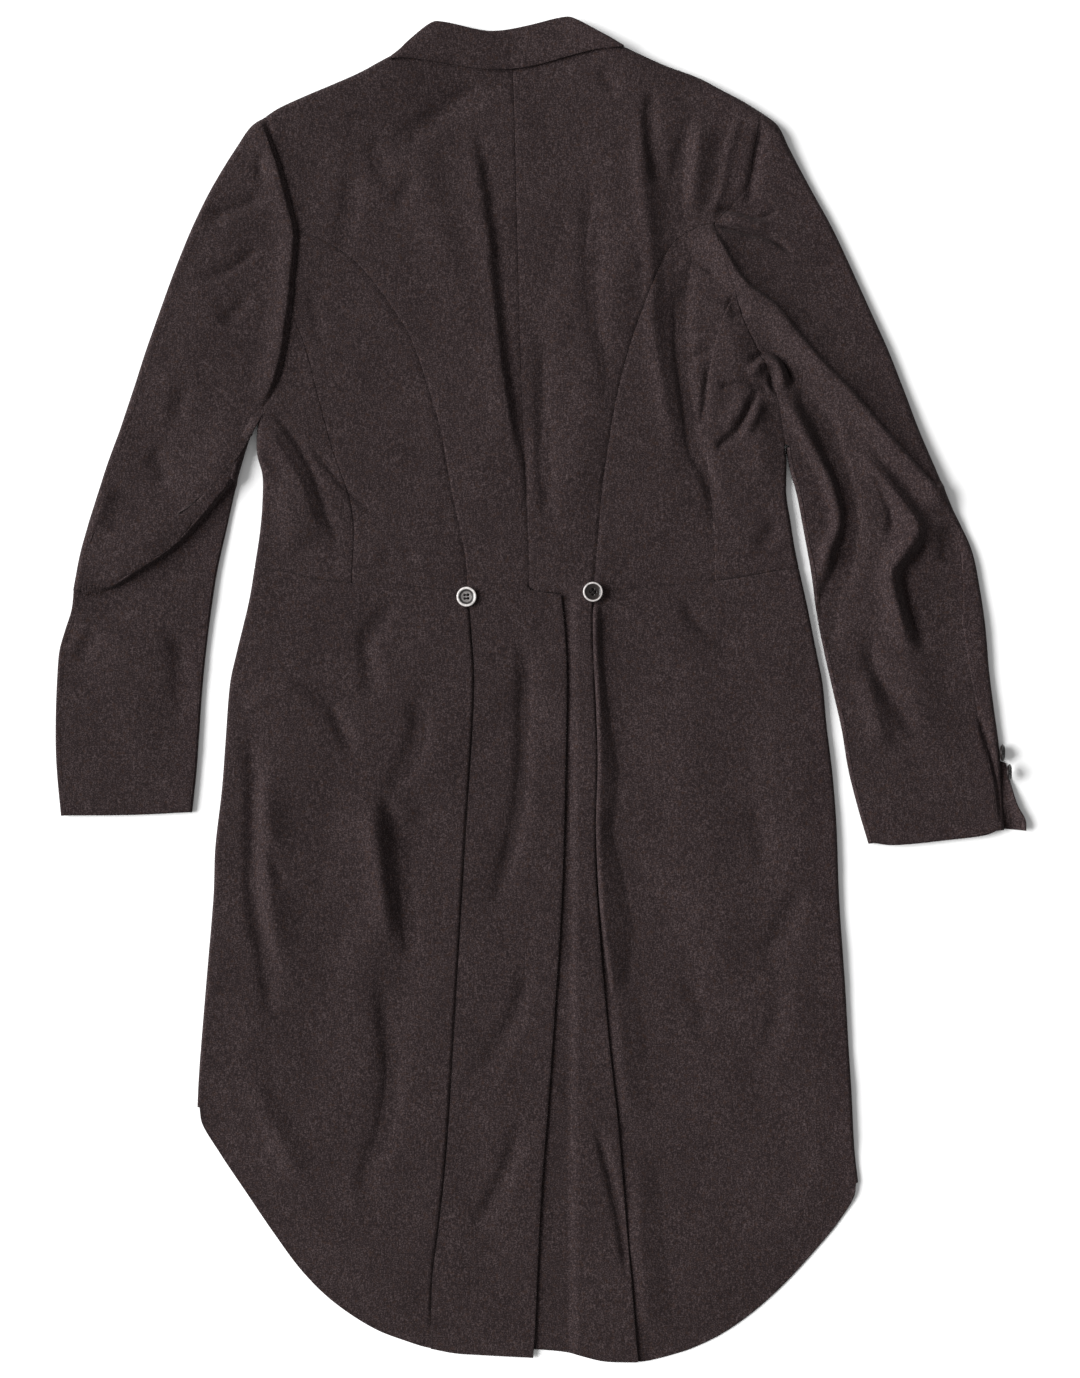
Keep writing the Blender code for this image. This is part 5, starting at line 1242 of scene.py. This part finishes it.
# Right hip button: dark horn with a bright rim that is a painted highlight
rightHornPaintedHighlight = hornFinish("horn_painted_rim_highlight", hipButtonsAt["right"], [
    (0.0, darkHorn), (6.5, darkHorn), (7.1, (0.04, 0.034, 0.03)), (7.6, rimHighlight), (8.3, rimHighlight),
    (8.8, (0.10, 0.09, 0.085)), (9.0, (0.04, 0.035, 0.03))], 0.05)
horn = hornFinish("darkHorn", (0, 0), [(0.0, darkHorn), (10.0, (0.012, 0.009, 0.009))], 0.0)


buttons = {}
for side, at, over, finish, turn in (
        ("left", hipButtonsAt["left"], leftBackTop, leftHornPaintedReflection, 0.06),
        ("right", hipButtonsAt["right"], rightBackTop, rightHornPaintedHighlight, 0.8)):
    ring = np.asarray(at) + [(reach * math.cos(t), reach * math.sin(t))
                             for reach in (0, 5, 10, 14) for t in np.linspace(0, 2 * math.pi, 12)]
    base = np.maximum(over(ring), bodyHeight(ring)).max() + half + 0.2
    buttons["hip_button_" + side] = makeButton("hip_button_" + side, hipButton, at, finish, base=base, turn=turn)
buttons["front_button"] = makeButton(
    "front_button", frontButton, frontButtonAt, horn, (0, 0, -1), frontButton["thickness"], pierced=False)
for number, at in enumerate(leftCuffButtonsAt, 1):
    name = "cuff_button_left_%d" % number
    buttons[name] = makeButton(name, cuffButton, at, horn, (0, 0, -1), cuffButton["thickness"], pierced=False)
lean = math.radians(20.0)  # of the right cuff's buttons, above the floor
for number, (x, y, z) in enumerate(rightCuffButtonsAt, 1):
    name = "cuff_button_right_%d" % number
    buttons[name] = makeButton(name, cuffButton, (x, y), horn, (math.cos(lean), 0.0, math.sin(lean)), z)
print("buttons made:", len(buttons))

# Dark stitches along the top of the vent: the edge is sewn there, and the dark thread is laid on as painted shadow for
# the shade under that edge
ventTop = along([(-9.4, 89.2), (-6, 86.6), (2, 86.0), (17.4, 84.6)], 48)
ventTop = np.column_stack([ventTop, rightBackTop(ventTop) + half + 0.12])
ventStitchesPaintedShadow = threadObject("vent_stitches_painted_shadow", [ventTop[k:k + 6] for k in range(0, 43, 6)], sewing["stitchPaintedShadow"])


# The cut of each cloth as built (width, length and area, in metres) and what it lies on
cuts = {
    "back_left": (0.267, 1.165, 0.1206, "forepart_left", "skirt_left"),
    "back_right": (0.246, 1.175, 0.1239, "forepart_right", "skirt_right"),
    "side_body_left": (0.156, 0.320, 0.0279, "forepart_left"),
    "side_body_right": (0.126, 0.326, 0.0270, "forepart_right"),
    "forepart_left": (0.241, 0.472, 0.0827, "lapel_left"),
    "forepart_right": (0.237, 0.477, 0.0841, "lapel_right"),
    "skirt_left": (0.305, 0.694, 0.2055, "tableTop"),
    "skirt_right": (0.311, 0.705, 0.2130, "tableTop"),
    "lapel_left": (0.164, 0.312, 0.0158, "tableTop"),
    "lapel_right": (0.135, 0.312, 0.0146, "tableTop"),
    "under_sleeve_left": (0.211, 0.616, 0.0659, "top_sleeve_left"),
    "under_sleeve_right": (0.251, 0.644, 0.0724, "top_sleeve_right"),
    "top_sleeve_left": (0.242, 0.620, 0.0793, "tableTop"),
    "top_sleeve_right": (0.260, 0.648, 0.0903, "tableTop"),
    "collar": (0.232, 0.046, 0.0104, "back_left", "back_right"),
    "cuff_underlap_right": (0.023, 0.062, 0.00083, "tableTop"),
}

for piece in pieces:
    name, made = piece["name"], piece["object"]
    width, length, area, *rests = cuts[name]
    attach(made, "root")
    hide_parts(name)
    print("  %-22s %.3f x %.3f m, %.4f m2 of %.4f" % (name, width, length, piece["area"] * 1e-6, area))
    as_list(rests)

for name, (made, threads) in buttons.items():
    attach(made, "root")
    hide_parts(name)
    if threads:
        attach(threads, "root")
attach(ventStitchesPaintedShadow, "root")

# Floor, light and camera

table = {"size": 40.0, "colour": (0.86, 0.86, 0.86)}
room = {"fill": 0.42, "key": 8.1, "keyFrom": (-0.94, 0.10, 0.52), "softness": 46}
view = {"lens": 70, "sensor": 36, "from": (-0.0007, -0.00036, 2.384)}

mesh = bpy.data.meshes.new("tableTop")
reach = table["size"] / 2
mesh.from_pydata([(-reach, -reach, 0), (reach, -reach, 0), (reach, reach, 0), (-reach, reach, 0)], [], [(0, 1, 2, 3)])
mesh.materials.append(newFinish("palePaper", table["colour"], 0.9, 0.1)[0])
tableTop = added("tableTop", mesh)

world = bpy.data.worlds.new("studio")
world.use_nodes = True
setInputs(world.node_tree.nodes["Background"], {"Color": (1, 1, 1, 1), "Strength": room["fill"]})
bpy.context.scene.world = world
key = bpy.data.lights.new("key", "SUN")
key.energy = room["key"]
key.angle = math.radians(room["softness"])
added("key", key).rotation_euler = Vector(room["keyFrom"]).to_track_quat("Z", "Y").to_euler()

lens = bpy.data.cameras.new("camera")
lens.lens, lens.sensor_width = view["lens"], view["sensor"]
camera = added("camera", lens)
camera.location = view["from"]
bpy.context.scene.camera = camera
bpy.context.scene.view_settings.view_transform = "Standard"
print("floor, light and camera placed")
